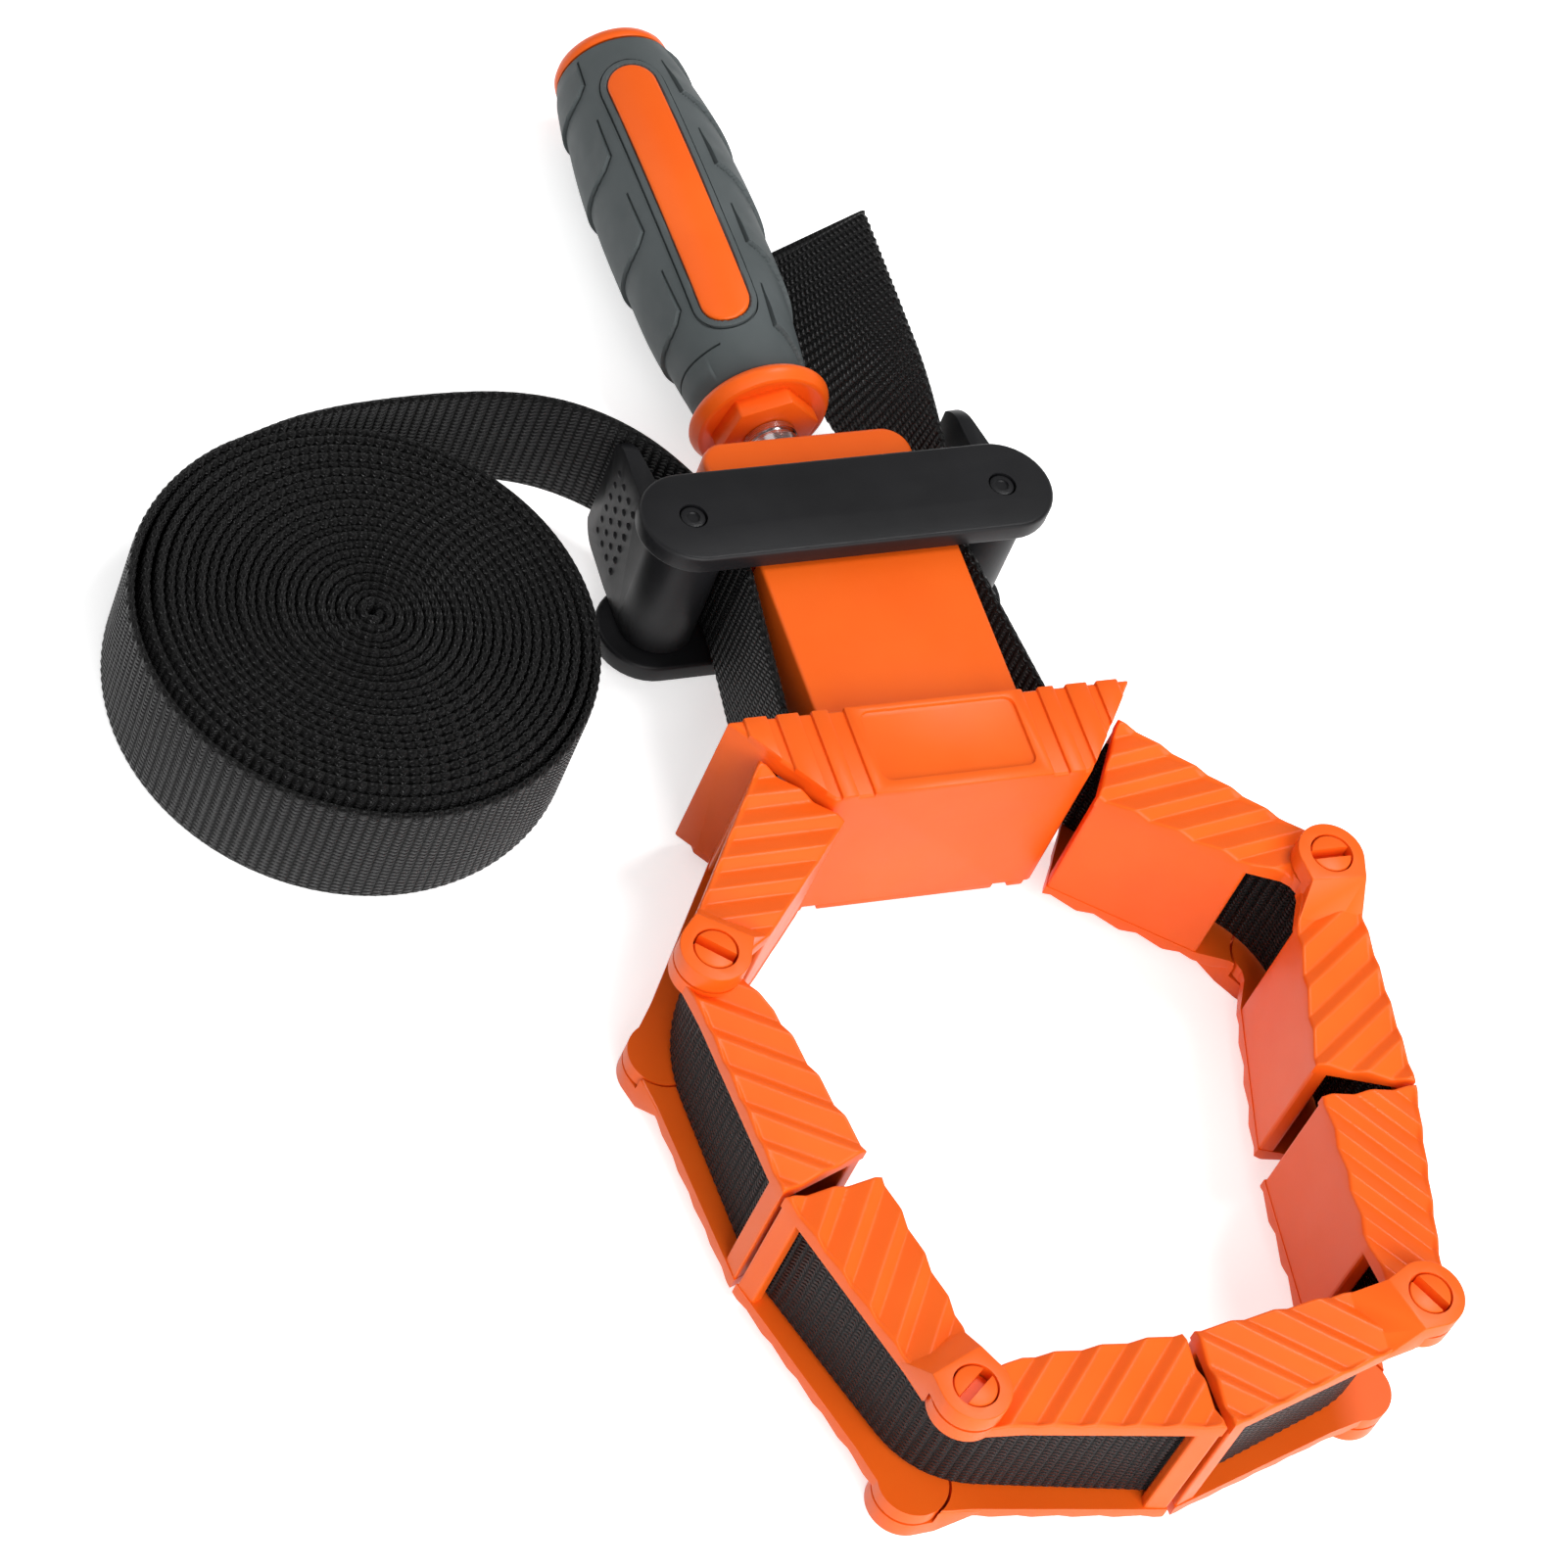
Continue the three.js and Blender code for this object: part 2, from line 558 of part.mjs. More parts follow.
function headOutline() {
  return [
    [-HEAD_FRONT_HALF, 0],
    [HEAD_FRONT_HALF, 0],
    [HEAD_REAR_HALF, HEAD_DEPTH],
    [-HEAD_REAR_HALF, HEAD_DEPTH],
  ];
}

function bandChannel(side) {
  const inner = HEAD_HALF - HEAD_FLANGE;
  const rearWall = HEAD_DEPTH - HEAD_WALL;
  const plan = [
    [STEM_HALF_WIDTH, HEAD_WALL],
    [FAR, HEAD_WALL],
    [FAR, rearWall],
    [BAND_MOUTH + CORNER_EASE, rearWall],
    [BAND_MOUTH, rearWall + CORNER_EASE],
    [BAND_MOUTH, FAR],
    [STEM_HALF_WIDTH, FAR],
  ];
  return prism(plan.map(([x, y]) => [side * x, y]), -inner, inner);
}

function addHead() {
  const wide = TONGUE_HALF_WIDTH + TONGUE_PLAY_WIDE;
  const tall = TONGUE_HALF + TONGUE_PLAY_TALL;
  const head = prism(headOutline(), -HEAD_HALF, HEAD_HALF).add(headRidges(1)).add(headRidges(-1));
  const root = STEM_FLOOR - STEM_SINK;
  const stem = box(-STEM_HALF_WIDTH, STEM_HALF_WIDTH, root, STEM_END, -STEM_HALF, STEM_HALF);
  const body = head
    .add(stem)
    .subtract(bandChannel(1))
    .subtract(bandChannel(-1))
    .subtract(box(-wide, wide, STEM_FLOOR, FAR, -tall, tall))
    .add(leaningShaft(POST_RADIUS, root, POST_END))
    .subtract(leaningShaft(SPINDLE_RADIUS + SPINDLE_PLAY, STEM_FLOOR, FAR))
    .subtract(leaningShaft(NUT_RADIUS + GAP, POST_END - NUT_LENGTH - GAP, FAR));
  add(clamp, 'head', body, orange);
  const nut = shaft(NUT_RADIUS, POST_END - NUT_LENGTH, POST_END - GAP, 6);
  add(tensioner, 'spindle_nut', nut.subtract(shaft(SPINDLE_RADIUS + GAP, 0, FAR)), steel);
}

// Crossbar

function addCrossbar() {
  const rear = roundedRect(-BLOCK_HALF_WIDTH, BLOCK_HALF_WIDTH, TONGUE_START, BLOCK_END, BLOCK_CORNER, 4);
  const behind = box(-FAR, FAR, BLOCK_START, FAR, -FAR, FAR);
  const shoulders = prism(rear, -BLOCK_HALF, BLOCK_HALF).intersect(behind);
  const wide = TONGUE_HALF_WIDTH;
  const root = BLOCK_START + OVERLAP;
  const tongue = box(-wide, wide, TONGUE_START, root, -TONGUE_HALF, TONGUE_HALF);
  const padReach = PLATE_INNER - GAP;
  const pads = box(-PAD_HALF_WIDTH, PAD_HALF_WIDTH, root, BLOCK_WALL_START, -padReach, padReach);
  const block = shoulders
    .add(tongue)
    .add(pads)
    .subtract(shaft(POST_RADIUS + GAP, 0, BLOCK_WALL_START))
    .subtract(shaft(SPINDLE_RADIUS + GAP, 0, FAR));
  add(tensioner, 'slide_block', block, orange);
  for (const [name, up] of [['crossbar_top_plate', 1], ['crossbar_bottom_plate', -1]]) {
    const outline = [
      ...arc(CAM_PIN_X, CAM_PIN_Y, PLATE_RADIUS, -Math.PI / 2, Math.PI / 2, 12),
      ...arc(-CAM_PIN_X, CAM_PIN_Y, PLATE_RADIUS, Math.PI / 2, 1.5 * Math.PI, 12),
    ];
    const faces = [up * PLATE_INNER, up * (PLATE_INNER + PLATE_THICK)].sort((a, b) => a - b);
    let plate = prism(outline, ...faces);
    for (const side of [-1, 1]) {
      plate = plate.subtract(post(CAM_PIN_RADIUS + GAP, side * CAM_PIN_X, CAM_PIN_Y, -FAR, FAR));
    }
    add(tensioner, name, plate, black);
  }
  for (const [name, side] of [['left', -1], ['right', 1]]) {
    const reach = PLATE_INNER + PLATE_THICK;
    const pin = post(CAM_PIN_RADIUS, side * CAM_PIN_X, CAM_PIN_Y, -reach, reach);
    add(tensioner, `cam_pin_${name}`, pin, steel);
    add(tensioner, `cam_lever_${name}`, camLever(side, LEVER_REST[name]), black);
  }
}

function camLever(side, rest) {
  const along = [0, ARM_ROOT, ARM_LENGTH - ARM_TIP_ROUND];
  const outer = along.map((y, i) => [ARM_OUTER[i], y]);
  const inner = along.map((y, i) => [ARM_INNER[i], y]).reverse();
  const arm = [...outer, [ARM_TIP, ARM_LENGTH], ...inner];
  const placed = arm.map(([x, y]) => [side * (CAM_PIN_X + x), CAM_PIN_Y + y]);
  const plan = prismGeometry(placed, -LEVER_HALF, LEVER_HALF);
  const tip = CAM_PIN_Y + ARM_LENGTH;
  const elevation = roundedRect(CAM_PIN_Y - ARM_LENGTH, tip, -LEVER_HALF, LEVER_HALF, LEVER_CORNER, 5);
  const round = prismGeometry(elevation, -FAR, FAR).rotateX(Math.PI / 2).rotateZ(Math.PI / 2);
  const [armSolid, roundSolid] = [plan, round].map((geometry) => {
    geometry.translate(-side * CAM_PIN_X, -CAM_PIN_Y, 0);
    geometry.rotateZ(rest);
    return solid(geometry.translate(side * CAM_PIN_X, CAM_PIN_Y, 0));
  });
  const cam = post(CAM_RADIUS, side * (CAM_PIN_X - CAM_OFFSET), CAM_PIN_Y, -LEVER_HALF, LEVER_HALF);
  const hole = post(CAM_PIN_RADIUS + GAP, side * CAM_PIN_X, CAM_PIN_Y, -FAR, FAR);
  return armSolid.intersect(roundSolid).add(cam).subtract(hole);
}

// Handle and spindle

function inlayPrism(grow) {
  const width = INLAY_HALF_WIDTH + grow;
  const outline = roundedRect(-width, width, INLAY_START - grow, INLAY_END + grow, INLAY_ROUND * width, 5);
  return solid(prismGeometry(outline, CORE_RADIUS / 2, FAR).rotateY(INLAY_ROLL));
}

function addHandle() {
  const swell = GRIP_SWELL.map(([along, radius]) => [radius, GRIP_START + along]);
  const skin = turned([[0, GRIP_START], ...swell, [0, GRIP_END]]);
  const ferrule = [
    [0, FERRULE_START],
    [FERRULE_RADIUS - FERRULE_EASE, FERRULE_START],
    [FERRULE_RADIUS, FERRULE_START + FERRULE_FRONT],
    [FERRULE_RADIUS, FERRULE_START + FERRULE_RIM],
    [FERRULE_RADIUS - FERRULE_EASE, FERRULE_START + FERRULE_FALL],
    [FERRULE_REAR, GRIP_START - GAP],
    [0, GRIP_START - GAP],
  ];
  const cap = [
    [0, GRIP_END + GAP],
    [CAP_RADII[0], GRIP_END + GAP],
    [CAP_RADII[1], GRIP_END + CAP_RIM],
    [CAP_RADII[2], HANDLE_END],
    [0, HANDLE_END],
  ];
  const socket = shaft(SPINDLE_RADIUS + GAP, 0, SOCKET_END);
  const core = turned(ferrule)
    .add(turned(cap))
    .add(shaft(CORE_RADIUS, FERRULE_START + OVERLAP, HANDLE_END - OVERLAP))
    .add(shaft(HEX_RADIUS, HEX_START, FERRULE_START + OVERLAP, 6, INLAY_ROLL + rad(30)))
    .add(skin.intersect(inlayPrism(0)))
    .subtract(socket);
  add(tensioner, 'handle_core', core, orange);
  const grip = skin.subtract(shaft(CORE_RADIUS + GAP, 0, FAR)).subtract(inlayPrism(GAP));
  add(tensioner, 'handle_grip', grip, rubber);
  const collar = shaft(COLLAR_RADIUS, BLOCK_END + GAP, HEX_START - GAP);
  add(tensioner, 'spindle', shaft(SPINDLE_RADIUS, SPINDLE_TIP, SOCKET_END - GAP).add(collar), steel);
  const ringEnd = BLOCK_WALL_START - GAP;
  const ring = shaft(POST_RADIUS - RING_PLAY, ringEnd - RING_THICK, ringEnd);
  add(tensioner, 'thrust_ring', ring.subtract(shaft(SPINDLE_RADIUS + GAP, 0, FAR)), steel);
}

// Band ends, runs beside the stem, and the wound length

function addStemBands() {
  const plan = ringPlan();
  const heads = { right: [1, plan.a.pin], left: [-1, plan.d.pin] };
  for (const [name, [side, pin]] of Object.entries(heads)) {
    const cam = leaned(side * PINCH_X, CAM_FRONT_Y);
    const mouth = [side * MOUTH[0], MOUTH[1]];
    const flex = headEnd(side);
    const run = [towards(cam, mouth, GAP), towards(mouth, cam, GAP)];
    add(clamp, `band_run_${name}`, strip(level(run)), webbing);
    const corner = towards(flex, pin, -HEAD_CORNER);
    const inside = bend(mouth, corner, towards(flex, pin, -GAP), 8);
    add(clamp, `band_head_${name}`, strip(level(inside)), webbing);
  }
}

function coilStations() {
  const stations = [];
  const total = Math.round(COIL_LOOPS * COIL_STEPS);
  for (let i = 0; i <= total; i++) {
    const turn = i / COIL_STEPS;
    const loose = Math.max(0, turn - COIL_LOOPS + 1);
    const radius = COIL_INNER + COIL_PITCH * turn + COIL_LOOSE * loose ** 2 * (3 - 2 * loose);
    const angle = COIL_END_ANGLE + 2 * Math.PI * (COIL_LOOPS - turn);
    stations.push([...polar(COIL_CENTRE, angle, radius), FLOOR]);
  }
  return stations;
}

// From the coil's far side round the tip of the left lever and through the cam
function leadStations(start) {
  const pinch = [CAM_REAR_Y, CAM_PIN_Y, CAM_FRONT_Y].map((y) => leaned(-PINCH_X, y));
  const route = LEAD_ROUTE.map(([out, y]) => [-PINCH_X - out, y]);
  const points = [start, ...route, ...pinch].map(([x, y]) => new THREE.Vector3(x, y, 0));
  const curve = new THREE.CatmullRomCurve3(points, false, 'centripetal');
  const rise = -BAND_WIDTH / 2 - FLOOR;
  const stations = [];
  for (let i = 1; i <= LEAD_STEPS; i++) {
    const point = curve.getPointAt(i / LEAD_STEPS);
    const lift = THREE.MathUtils.smoothstep(i / LEAD_STEPS, ...LEAD_RISE);
    stations.push([point.x, point.y, FLOOR + rise * lift]);
  }
  return stations;
}

function leastCoilGap(stations) {
  let least = Infinity;
  for (let i = 0; i < stations.length; i++) {
    for (let j = i + COIL_STEPS / 2; j < stations.length; j++) {
      least = Math.min(least, Math.hypot(stations[i][0] - stations[j][0], stations[i][1] - stations[j][1]));
    }
  }
  return least - BAND_THICK;
}

function addBandEnds() {
  const coil = coilStations();
  const long = [...coil, ...leadStations(coil[coil.length - 1])];
  console.log(`least gap of the wound band to itself: ${leastCoilGap(long).toFixed(2)} mm`);
  add(clamp, 'band_coil', strip(long), webbing);
  const pinch = [CAM_FRONT_Y, CAM_PIN_Y, CAM_REAR_Y].map((y) => leaned(PINCH_X, y));
  const route = TAIL_ROUTE.map(([out, y]) => [PINCH_X + out, y]);
  const points = [...pinch, ...route].map(([x, y]) => new THREE.Vector3(x, y, 0));
  const tail = new THREE.CatmullRomCurve3(points, false, 'centripetal').getSpacedPoints(TAIL_STEPS);
  const hanging = tail.map((p, i) => [p.x, p.y, -BAND_WIDTH / 2 - TAIL_DROOP * (i / TAIL_STEPS) ** 2]);
  add(clamp, 'band_tail', strip(hanging, TAIL_CUT, TAIL_TWIST), webbing);
}

addHead();
addCrossbar();
addHandle();
addJaws();
addStemBands();
addBandEnds();

export default clamp;
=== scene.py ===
"""Looks of the screw-tensioned band clamp: jaws, head and stem, crossbar with cam levers, handle and band.

Pieces are modelled in millimetres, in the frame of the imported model, and brought to metres when done.
"""

import json
import math

import bpy
from mathutils import Matrix, Vector


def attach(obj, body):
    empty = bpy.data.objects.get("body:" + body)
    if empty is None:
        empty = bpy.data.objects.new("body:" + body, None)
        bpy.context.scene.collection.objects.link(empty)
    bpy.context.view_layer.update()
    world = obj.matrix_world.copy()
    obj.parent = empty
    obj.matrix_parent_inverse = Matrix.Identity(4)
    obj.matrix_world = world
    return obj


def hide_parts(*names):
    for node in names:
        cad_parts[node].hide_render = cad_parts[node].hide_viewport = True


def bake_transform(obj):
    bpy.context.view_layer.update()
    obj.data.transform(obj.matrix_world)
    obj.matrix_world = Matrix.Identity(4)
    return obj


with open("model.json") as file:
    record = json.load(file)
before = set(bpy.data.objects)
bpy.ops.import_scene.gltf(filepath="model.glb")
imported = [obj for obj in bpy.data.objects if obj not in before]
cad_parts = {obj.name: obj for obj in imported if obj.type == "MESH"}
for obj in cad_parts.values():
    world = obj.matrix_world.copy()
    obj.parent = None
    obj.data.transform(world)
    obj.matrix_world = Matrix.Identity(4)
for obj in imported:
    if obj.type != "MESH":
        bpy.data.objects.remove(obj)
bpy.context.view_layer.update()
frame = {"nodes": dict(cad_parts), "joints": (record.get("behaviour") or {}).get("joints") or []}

MM = 0.001
FLOOR = -20.9  # the surface that the clamp lies on
GAP = 0.3  # between neighbouring pieces
PAST = 1  # how far a tool or a hidden end reaches past a face
FAR = 60  # reach of tools that go right through a piece
WELD = 0.0005  # points closer than this become one
CROWDING = 0.88  # how much the rows of a grid crowd towards its edges
CURVE_STEPS = 24  # fine steps between two points of a route

# Camera and image
CAMERA_PLACE = (-422.58, -455.59, 761.72)
CAMERA_TURN = (35.837, -16.539, -18.668)  # degrees about X, Y and Z
CAMERA_LENS = 125.22
SENSOR_WIDTH = 36

# Light, in metres: name, place, target, size and watts of each lamp
LAMPS = [
    ("overhead", (0.5, 0.15, 1.25), (0, -0.02, 0), 0.35, 6.5),
    ("front", (0, -1.6, 1.05), (0, -0.02, 0), 2.0, 40),
    ("back", (-0.6, 0.9, 1.1), (0, 0, 0), 0.9, 2),
]
WORLD_LIGHT = 0.34
CEILING_SHOWN = 0.12  # how bright the ceiling is where it is seen directly; the walls are 1
CEILING_SPAN = (0.05, 0.45)  # the walls turn into the ceiling between these upward slopes
FLOOR_SIZE = 12
FLOOR_SINK = 0.05  # millimetres below what lies on it
FLOOR_GLOW = 0.6

# Woven band
BAND_WIDTH = 25
BAND_THICK = 1.5
BAND_SMOOTH = 70  # degrees; flatter edges are shaded smooth
RIB_OF_WEAVE = 1.9  # one cross rib of the weave, along the band
RIB_RISE = 0.14  # ribs stand this far out of the band's face, and the valleys lie as far under it
STITCH_OF_WEAVE = 1.0  # one stitch, across the band
SELVEDGE_RISE = 0.32  # height of the small bumps along the band's edges, one to every rib
PAINTED_SHADE_SPAN = (0.7, 1.6)  # the painted shade of the edges fades out here, in halves of the edge's round
# painted shade: how light the band's colour is on its edges, with the faces at one
EDGE_PAINTED_SHADE = 0.4
KNUCKLE_BEND = 11  # the band starts to bend this far from a hinge pin
KNUCKLE_STEPS = 14
HEAD_BEND_STEPS = 12

# Jaw leaf: u runs from the hinge pin to the free end, v runs towards the work
LEAF_START = 2
LEAF_END = 44.55
END_MITRE = math.tan(math.radians(15.5))
JAW_HALF = 16.7
FLANGE_THICK = 3.4
FLANGE_GRID = (150, 48)
FLANGE_CROWDING = 1.25  # crowds the grid's columns towards the free end
FLANGE_ROUNDS = 6  # the mitred end makes u depend on v, so both are settled in rounds
FLANGE_FIRST_V = 4
FLANGE_EDGE = 0.6  # rounding of the flange's edges
VALLEY_SPAN = (0.2, 1.2)  # from the outer edge; valleys sink from half to full depth here
WALL_START = 11
WALL_END = 40.56
WALL_THICK = 3
WALL_ROUND = 0.5
OUTER_EDGE = [(2, -5.6), (10, -4.8), (46, -3.6)]  # u and v along the outer edge
WORK_EDGE = [(2, 5.6), (5, 5.8), (WALL_START, 8.5), (WALL_END, 14.4), (46, 15.5)]  # along the work's side
END_TUCK = 0.1  # wall and bridge stand this far behind the flanges' ends
SIDE_TUCK = 0.15  # and this far behind their sides
BRIDGE_LENGTH = 4.5
BRIDGE_INNER = -1.1
LEAF_RIB_PITCH = 6
LEAF_RIB_HEIGHT = 1.25
LEAF_RIB_CREST = 0.36  # share of the pitch between a valley and the next crest
LEAF_RIB_ROUND = 0.08  # roundness of the crests
LEAF_RIB_ANGLE = math.radians(55)
EAR_RADIUS = 6.4
EAR_TOP = 20.9
EAR_ARC = (math.radians(75), math.radians(285))
EAR_ROUND = 0.9
EAR_BACK = 0.6  # the ear's inner face lies this far within the flange
EAR_PLAY = 0.5  # round the other leaf's ear
EAR_ROOT_IN = 5.6  # v where the ear meets the ramp, at the work
EAR_ROOT_OUT = -5.3  # and at the outer edge
RAMP_START = 5.4
RAMP_END = 12
RAMP_SINK = 0.4  # the ramp ends this far inside the flange
BOSS_RADIUS = 3.8
BOSS_ROUND = 0.35
BOSS_SLOT_WIDTH = 1.9
BOSS_SLOT_DEPTH = 2.6
BOSS_SLOT_ANGLE = math.radians(47)

# Head and stem
HEAD_REAR_HALF = 40.2
HEAD_FRONT_HALF = 25.4
HEAD_DEPTH = 18.7
HEAD_HALF = 18
HEAD_FLANGE = 4
HEAD_WALL = 3.6
HEAD_ROUND = 0.7
HEAD_RIDGE = 0.7
RIDGES = [(20.9, 24.2), (26.6, 31.0), (32.8, 37.3)]
RIDGE_ROUND = 0.4
RIDGE_END_ROUND = 0.3
RIDGE_TOOL_HALF = 30  # half height of the tool that trims the ridges to the head's outline
FRAME_HALF = 17.8
PANEL_HALF = 15.3
PANEL_FRONT = 2.5
PANEL_REAR = 17.4
PANEL_CORNER = 2
BAND_MOUTH = 29.5
BAND_ROOM = 1.8  # from the middle of the band to the closed side behind it
CHANNEL_OUT = 5  # the band's channel runs on this far past the bending point
CHANNEL_ROUND = 0.5
STEM_HALF_WIDTH = 20.3
STEM_HALF = 13
STEM_START = 10
STEM_END = 56
STEM_HOLLOW_WIDE = 18.05
STEM_HOLLOW_TALL = 10.7
STEM_HOLLOW_START = 17.2

# The tensioner is modelled straight and then leans about this point of the spindle
LEAN_DOWN = math.radians(2.2)
LEAN_LEFT = math.radians(0.9)
LEAN_PIVOT_Y = 42

# Slide block, crossbar and cam levers
TONGUE_HALF_WIDTH = 17.3
TONGUE_HALF = 9.5
TONGUE_START = 19
TONGUE_ROOT = 3  # the tongue reaches this far into the block
TONGUE_ROUND = 0.8
BLOCK_HALF_WIDTH = 21.3
BLOCK_HALF = 11.2
BLOCK_START = 57.2
BLOCK_END = 85.2
BLOCK_CORNER = 5
BLOCK_ROUND = 1.1
BLOCK_WALL_START = 72
PAD_HALF_WIDTH = 14
PAD_BACK = 1.3  # the pads start this far behind the block's front
POST_RADIUS = 7.5
POST_END = 47
POST_SINK = 1.5  # the nut's post starts this far under the floor of the stem's hollow
POST_PLAY = 0.5  # round the spindle
NUT_RADIUS = 6
NUT_LENGTH = 9.5
SPINDLE_RADIUS = 3.9
SPINDLE_START = 20
SPINDLE_TIP = 0.8
COLLAR_RADIUS = 5.2
COLLAR_EDGE = 0.5
COLLAR_GROOVE = [(0, 2.6), (0.6, 2.2), (0.6, 1.6), (0, 1.2)]  # depth, and distance from the collar's rear
CAM_PIN_X = 31.5
CAM_PIN_Y = 63.5
CAM_PIN_RADIUS = 2.4
PIN_SINK = 0.2  # the pin's ends lie this far under the plates' faces
PIN_ROUND = 0.4
DIMPLE_RADIUS = 1.3
DIMPLE_DEPTH = 0.5
DIMPLE_ROUND = 0.2
PLATE_RADIUS = 10.1
PLATE_THICK = 4.2
PLATE_INNER = 14.1
PLATE_ROUND = 0.7
CAM_RADIUS = 7.4
CAM_OFFSET = 0.9
CAM_ROUND = 0.5
LEVER_HALF = 13.4
LEVER_TIP_Y = 88.6
LEVER_CORNER = 6
LEVER_ROUND = 0.45
LEVER_REST = {"left": math.radians(4), "right": math.radians(3)}
ARM_OUTLINE = [(6.4, 0), (5.4, 10), (3.4, 24.1), (2.4, 25.1),
               (1.2, 24.1), (0.8, 10), (-1.5, 5), (0, 0)]  # outwards and back from the pin
DOT_COLUMNS = 4
DOT_ROWS = 6
DOT_START = (5.5, 9.5)  # the first column, outwards and back from the pin
DOT_PITCH = (3.2, 3.3)  # back and up
DOT_TAPER = 0.155  # the arm's outer face comes in by this share of the way back
DOT_RADIUS = 0.75
DOT_RISE = 0.55  # of the radius

# Handle
HEX_START = 93.8
HEX_RADIUS = 10.2
HEX_ROUND = 0.5
FERRULE_START = 97
FERRULE_RADIUS = 14
FERRULE_SEAT = (0.6, 0.8)  # the flat that the hexagon stands on: in from the hexagon's radius, and y
FERRULE_NECK = 11
FERRULE_PROFILE = [(2.2, 0.1), (1.6, 0), (1.1, 0.2), (0.4, 1.2), (0.05, 2),
                   (0, 2.5), (0.2, 3), (0.8, 3.7), (2.2, 4.6)]  # in from the ferrule's radius, and y
GRIP_START = 102.3
GRIP_END = 186.5
GRIP_GRID = (320, 230)
GRIP_END_ROWS = (0.02, 0.015)  # share of the rows in each end face, and of those on the edge of the bore
GRIP_EDGE = 0.8  # rounding of the grip's ends
RIM_PROFILE = [(11.6, GAP), (11.8, 0.8), (11.6, 2), (10.9, 3.1)]  # radius, and y behind the grip
RIM_END_RADIUS = 9.6
HANDLE_END = 190.2
SOCKET_END = 150
CORE_RADIUS = 9.4
GRIP_RADII = [(0, 11), (5.4, 11.8), (10.4, 12.6), (21.9, 14.1), (33.4, 14.7),
              (47.4, 15.2), (61.4, 14.9), (73.4, 13.8), (84.2, 12.3)]
INLAY_START = 113.6
INLAY_END = 177.9
INLAY_HALF_WIDTH = 5
INLAY_ROLL = math.radians(-17.8)
INLAY_BORDER = 1.7
INLAY_GRID = (24, 120)
INLAY_EDGE = 0.5
INLAY_RISE = 0.1
BORDER_RISE = 0.4
BORDER_BLUR = 0.2
POCKET_DEPTH = 1.2
POCKET_BLUR = 0.3
SCALE_PITCH = 19.4  # the grip's overlapping scales, along the handle
SCALE_RISE = 0.8
SCALE_TURN = 38  # degrees from the middle of the inlay to a scale's tip
SCALE_STOP = 172  # degrees, where the scales of both sides have run out
SCALE_SIDE = 9.8  # length of the straight side behind the tip
SCALE_COUNT = 4  # on each side
SCALE_CRISP = (-1, 1)  # a scale rises between these degrees round from its tip, along the straight side
SCALE_SOFT = (-4, 26)  # and between these further back
SCALE_BLEND_START = 0.2  # share of the pitch where the rise begins to soften
SCALE_FADE = 15  # degrees over which the scales run out
SCALE_END_FADE = (0.5, 4)  # the scales rise over this distance from the grip's ends
SCALE_FIRST = {-1: 120.2, 1: 111.3}  # y of the first tip, on the left and on the right
SCALE_EDGE = {  # degrees round from the tip, and how far the edge has run forward there
    -1: [(0, 0), (9, 1.9), (20, 2.8), (35, 3.3), (180, 3.3)],
    1: [(0, 0), (8, 1.2), (16, 2.7), (24, 4.6), (30, 6.4), (45, 10), (65, 12.7), (90, 13.4), (180, 13.4)],
}
GROOVE_WIDTH = 0.5
GROOVE_DEPTH = 1.0
BLADE_TOP = 1.5  # how far the tool for the grooves stands out of the grip
GROOVE_EDGE_STEP = 2  # degrees, along a scale's front edge
GROOVE_EDGE_STEPS = 59
GROOVE_SIDE_STEPS = 6
RING_REACH = math.radians(95)  # the grooves of both halves overlap in front of and behind the inlay
RING_STEPS = (14, 12)  # of a bend and of the straight
FRONT_GROOVE_Y = 109.8
FRONT_GROOVE_TURNS = range(-19, -160, -4)  # degrees

# Band beside the stem and the wound length
CAM_FRONT_Y = 54.5
PINCH_X = 22.2
PINCH_BACK = 4  # the band is held straight until this far behind the pin
MOUTH = (26, 20.7)
HEAD_BAND_CORNER = 8  # the band inside the head bends over a corner this far before the bending point
COIL_CENTRE = (-93, 57.2)
COIL_INNER = 1.3
COIL_OUTER = 42.1
COIL_LOOPS = 22.7
COIL_LOOSE = 1.1  # extra radius won by the last, loose loops
LOOSE_LOOPS = 3
COIL_SLIP = 0.4  # how far single loops stand up past the others
SLIP_WAVES = (2.4, 0.73)  # how fast that changes, in radians a loop
COIL_SHIFT = 0.9  # the tight loops lie this far to the right of the loose ones, and as far back
SHIFT_SPAN = (1.2, 0.5)  # the shift fades out between these loops, counted from the end
COIL_END_ANGLE = math.radians(110)
COIL_BOTTOM = FLOOR + SELVEDGE_RISE  # the bumps of the edge stand on the floor
LEAD_ROUTE = [(-92, 102.6), (-74, 104.4), (-57, 102.2), (-46, 97.6),
              (-37.6, 91), (-30.6, 82.8), (-25.6, 74.5)]
LEAD_RISE_SPAN = (0.25, 0.75)
LEAD_STEPS = 80
TAIL_ROUTE = [(24.2, 76), (24.6, 85), (24.3, 98), (23.4, 112), (23.2, 126), (23.7, 140.3)]
TAIL_STEPS = 40
TAIL_CUT = 2
TAIL_DROOP = 3
TAIL_TWIST = math.radians(45)
TWIST_SPAN = (0.1, 0.95)


# Picking and shaping pieces by hand

def deselect():
    bpy.ops.object.select_all(action="DESELECT")


def pick(piece):
    deselect()
    piece.select_set(True)
    bpy.context.view_layer.objects.active = piece


def edit_all(piece):
    """Goes into edit mode with the whole piece selected."""
    pick(piece)
    bpy.ops.object.mode_set(mode="EDIT")
    bpy.ops.mesh.select_all(action="SELECT")


def settle(piece):
    """Puts a piece's place, turn and scale into its mesh."""
    pick(piece)
    bpy.ops.object.transform_apply(location=True, rotation=True, scale=True)
    return piece


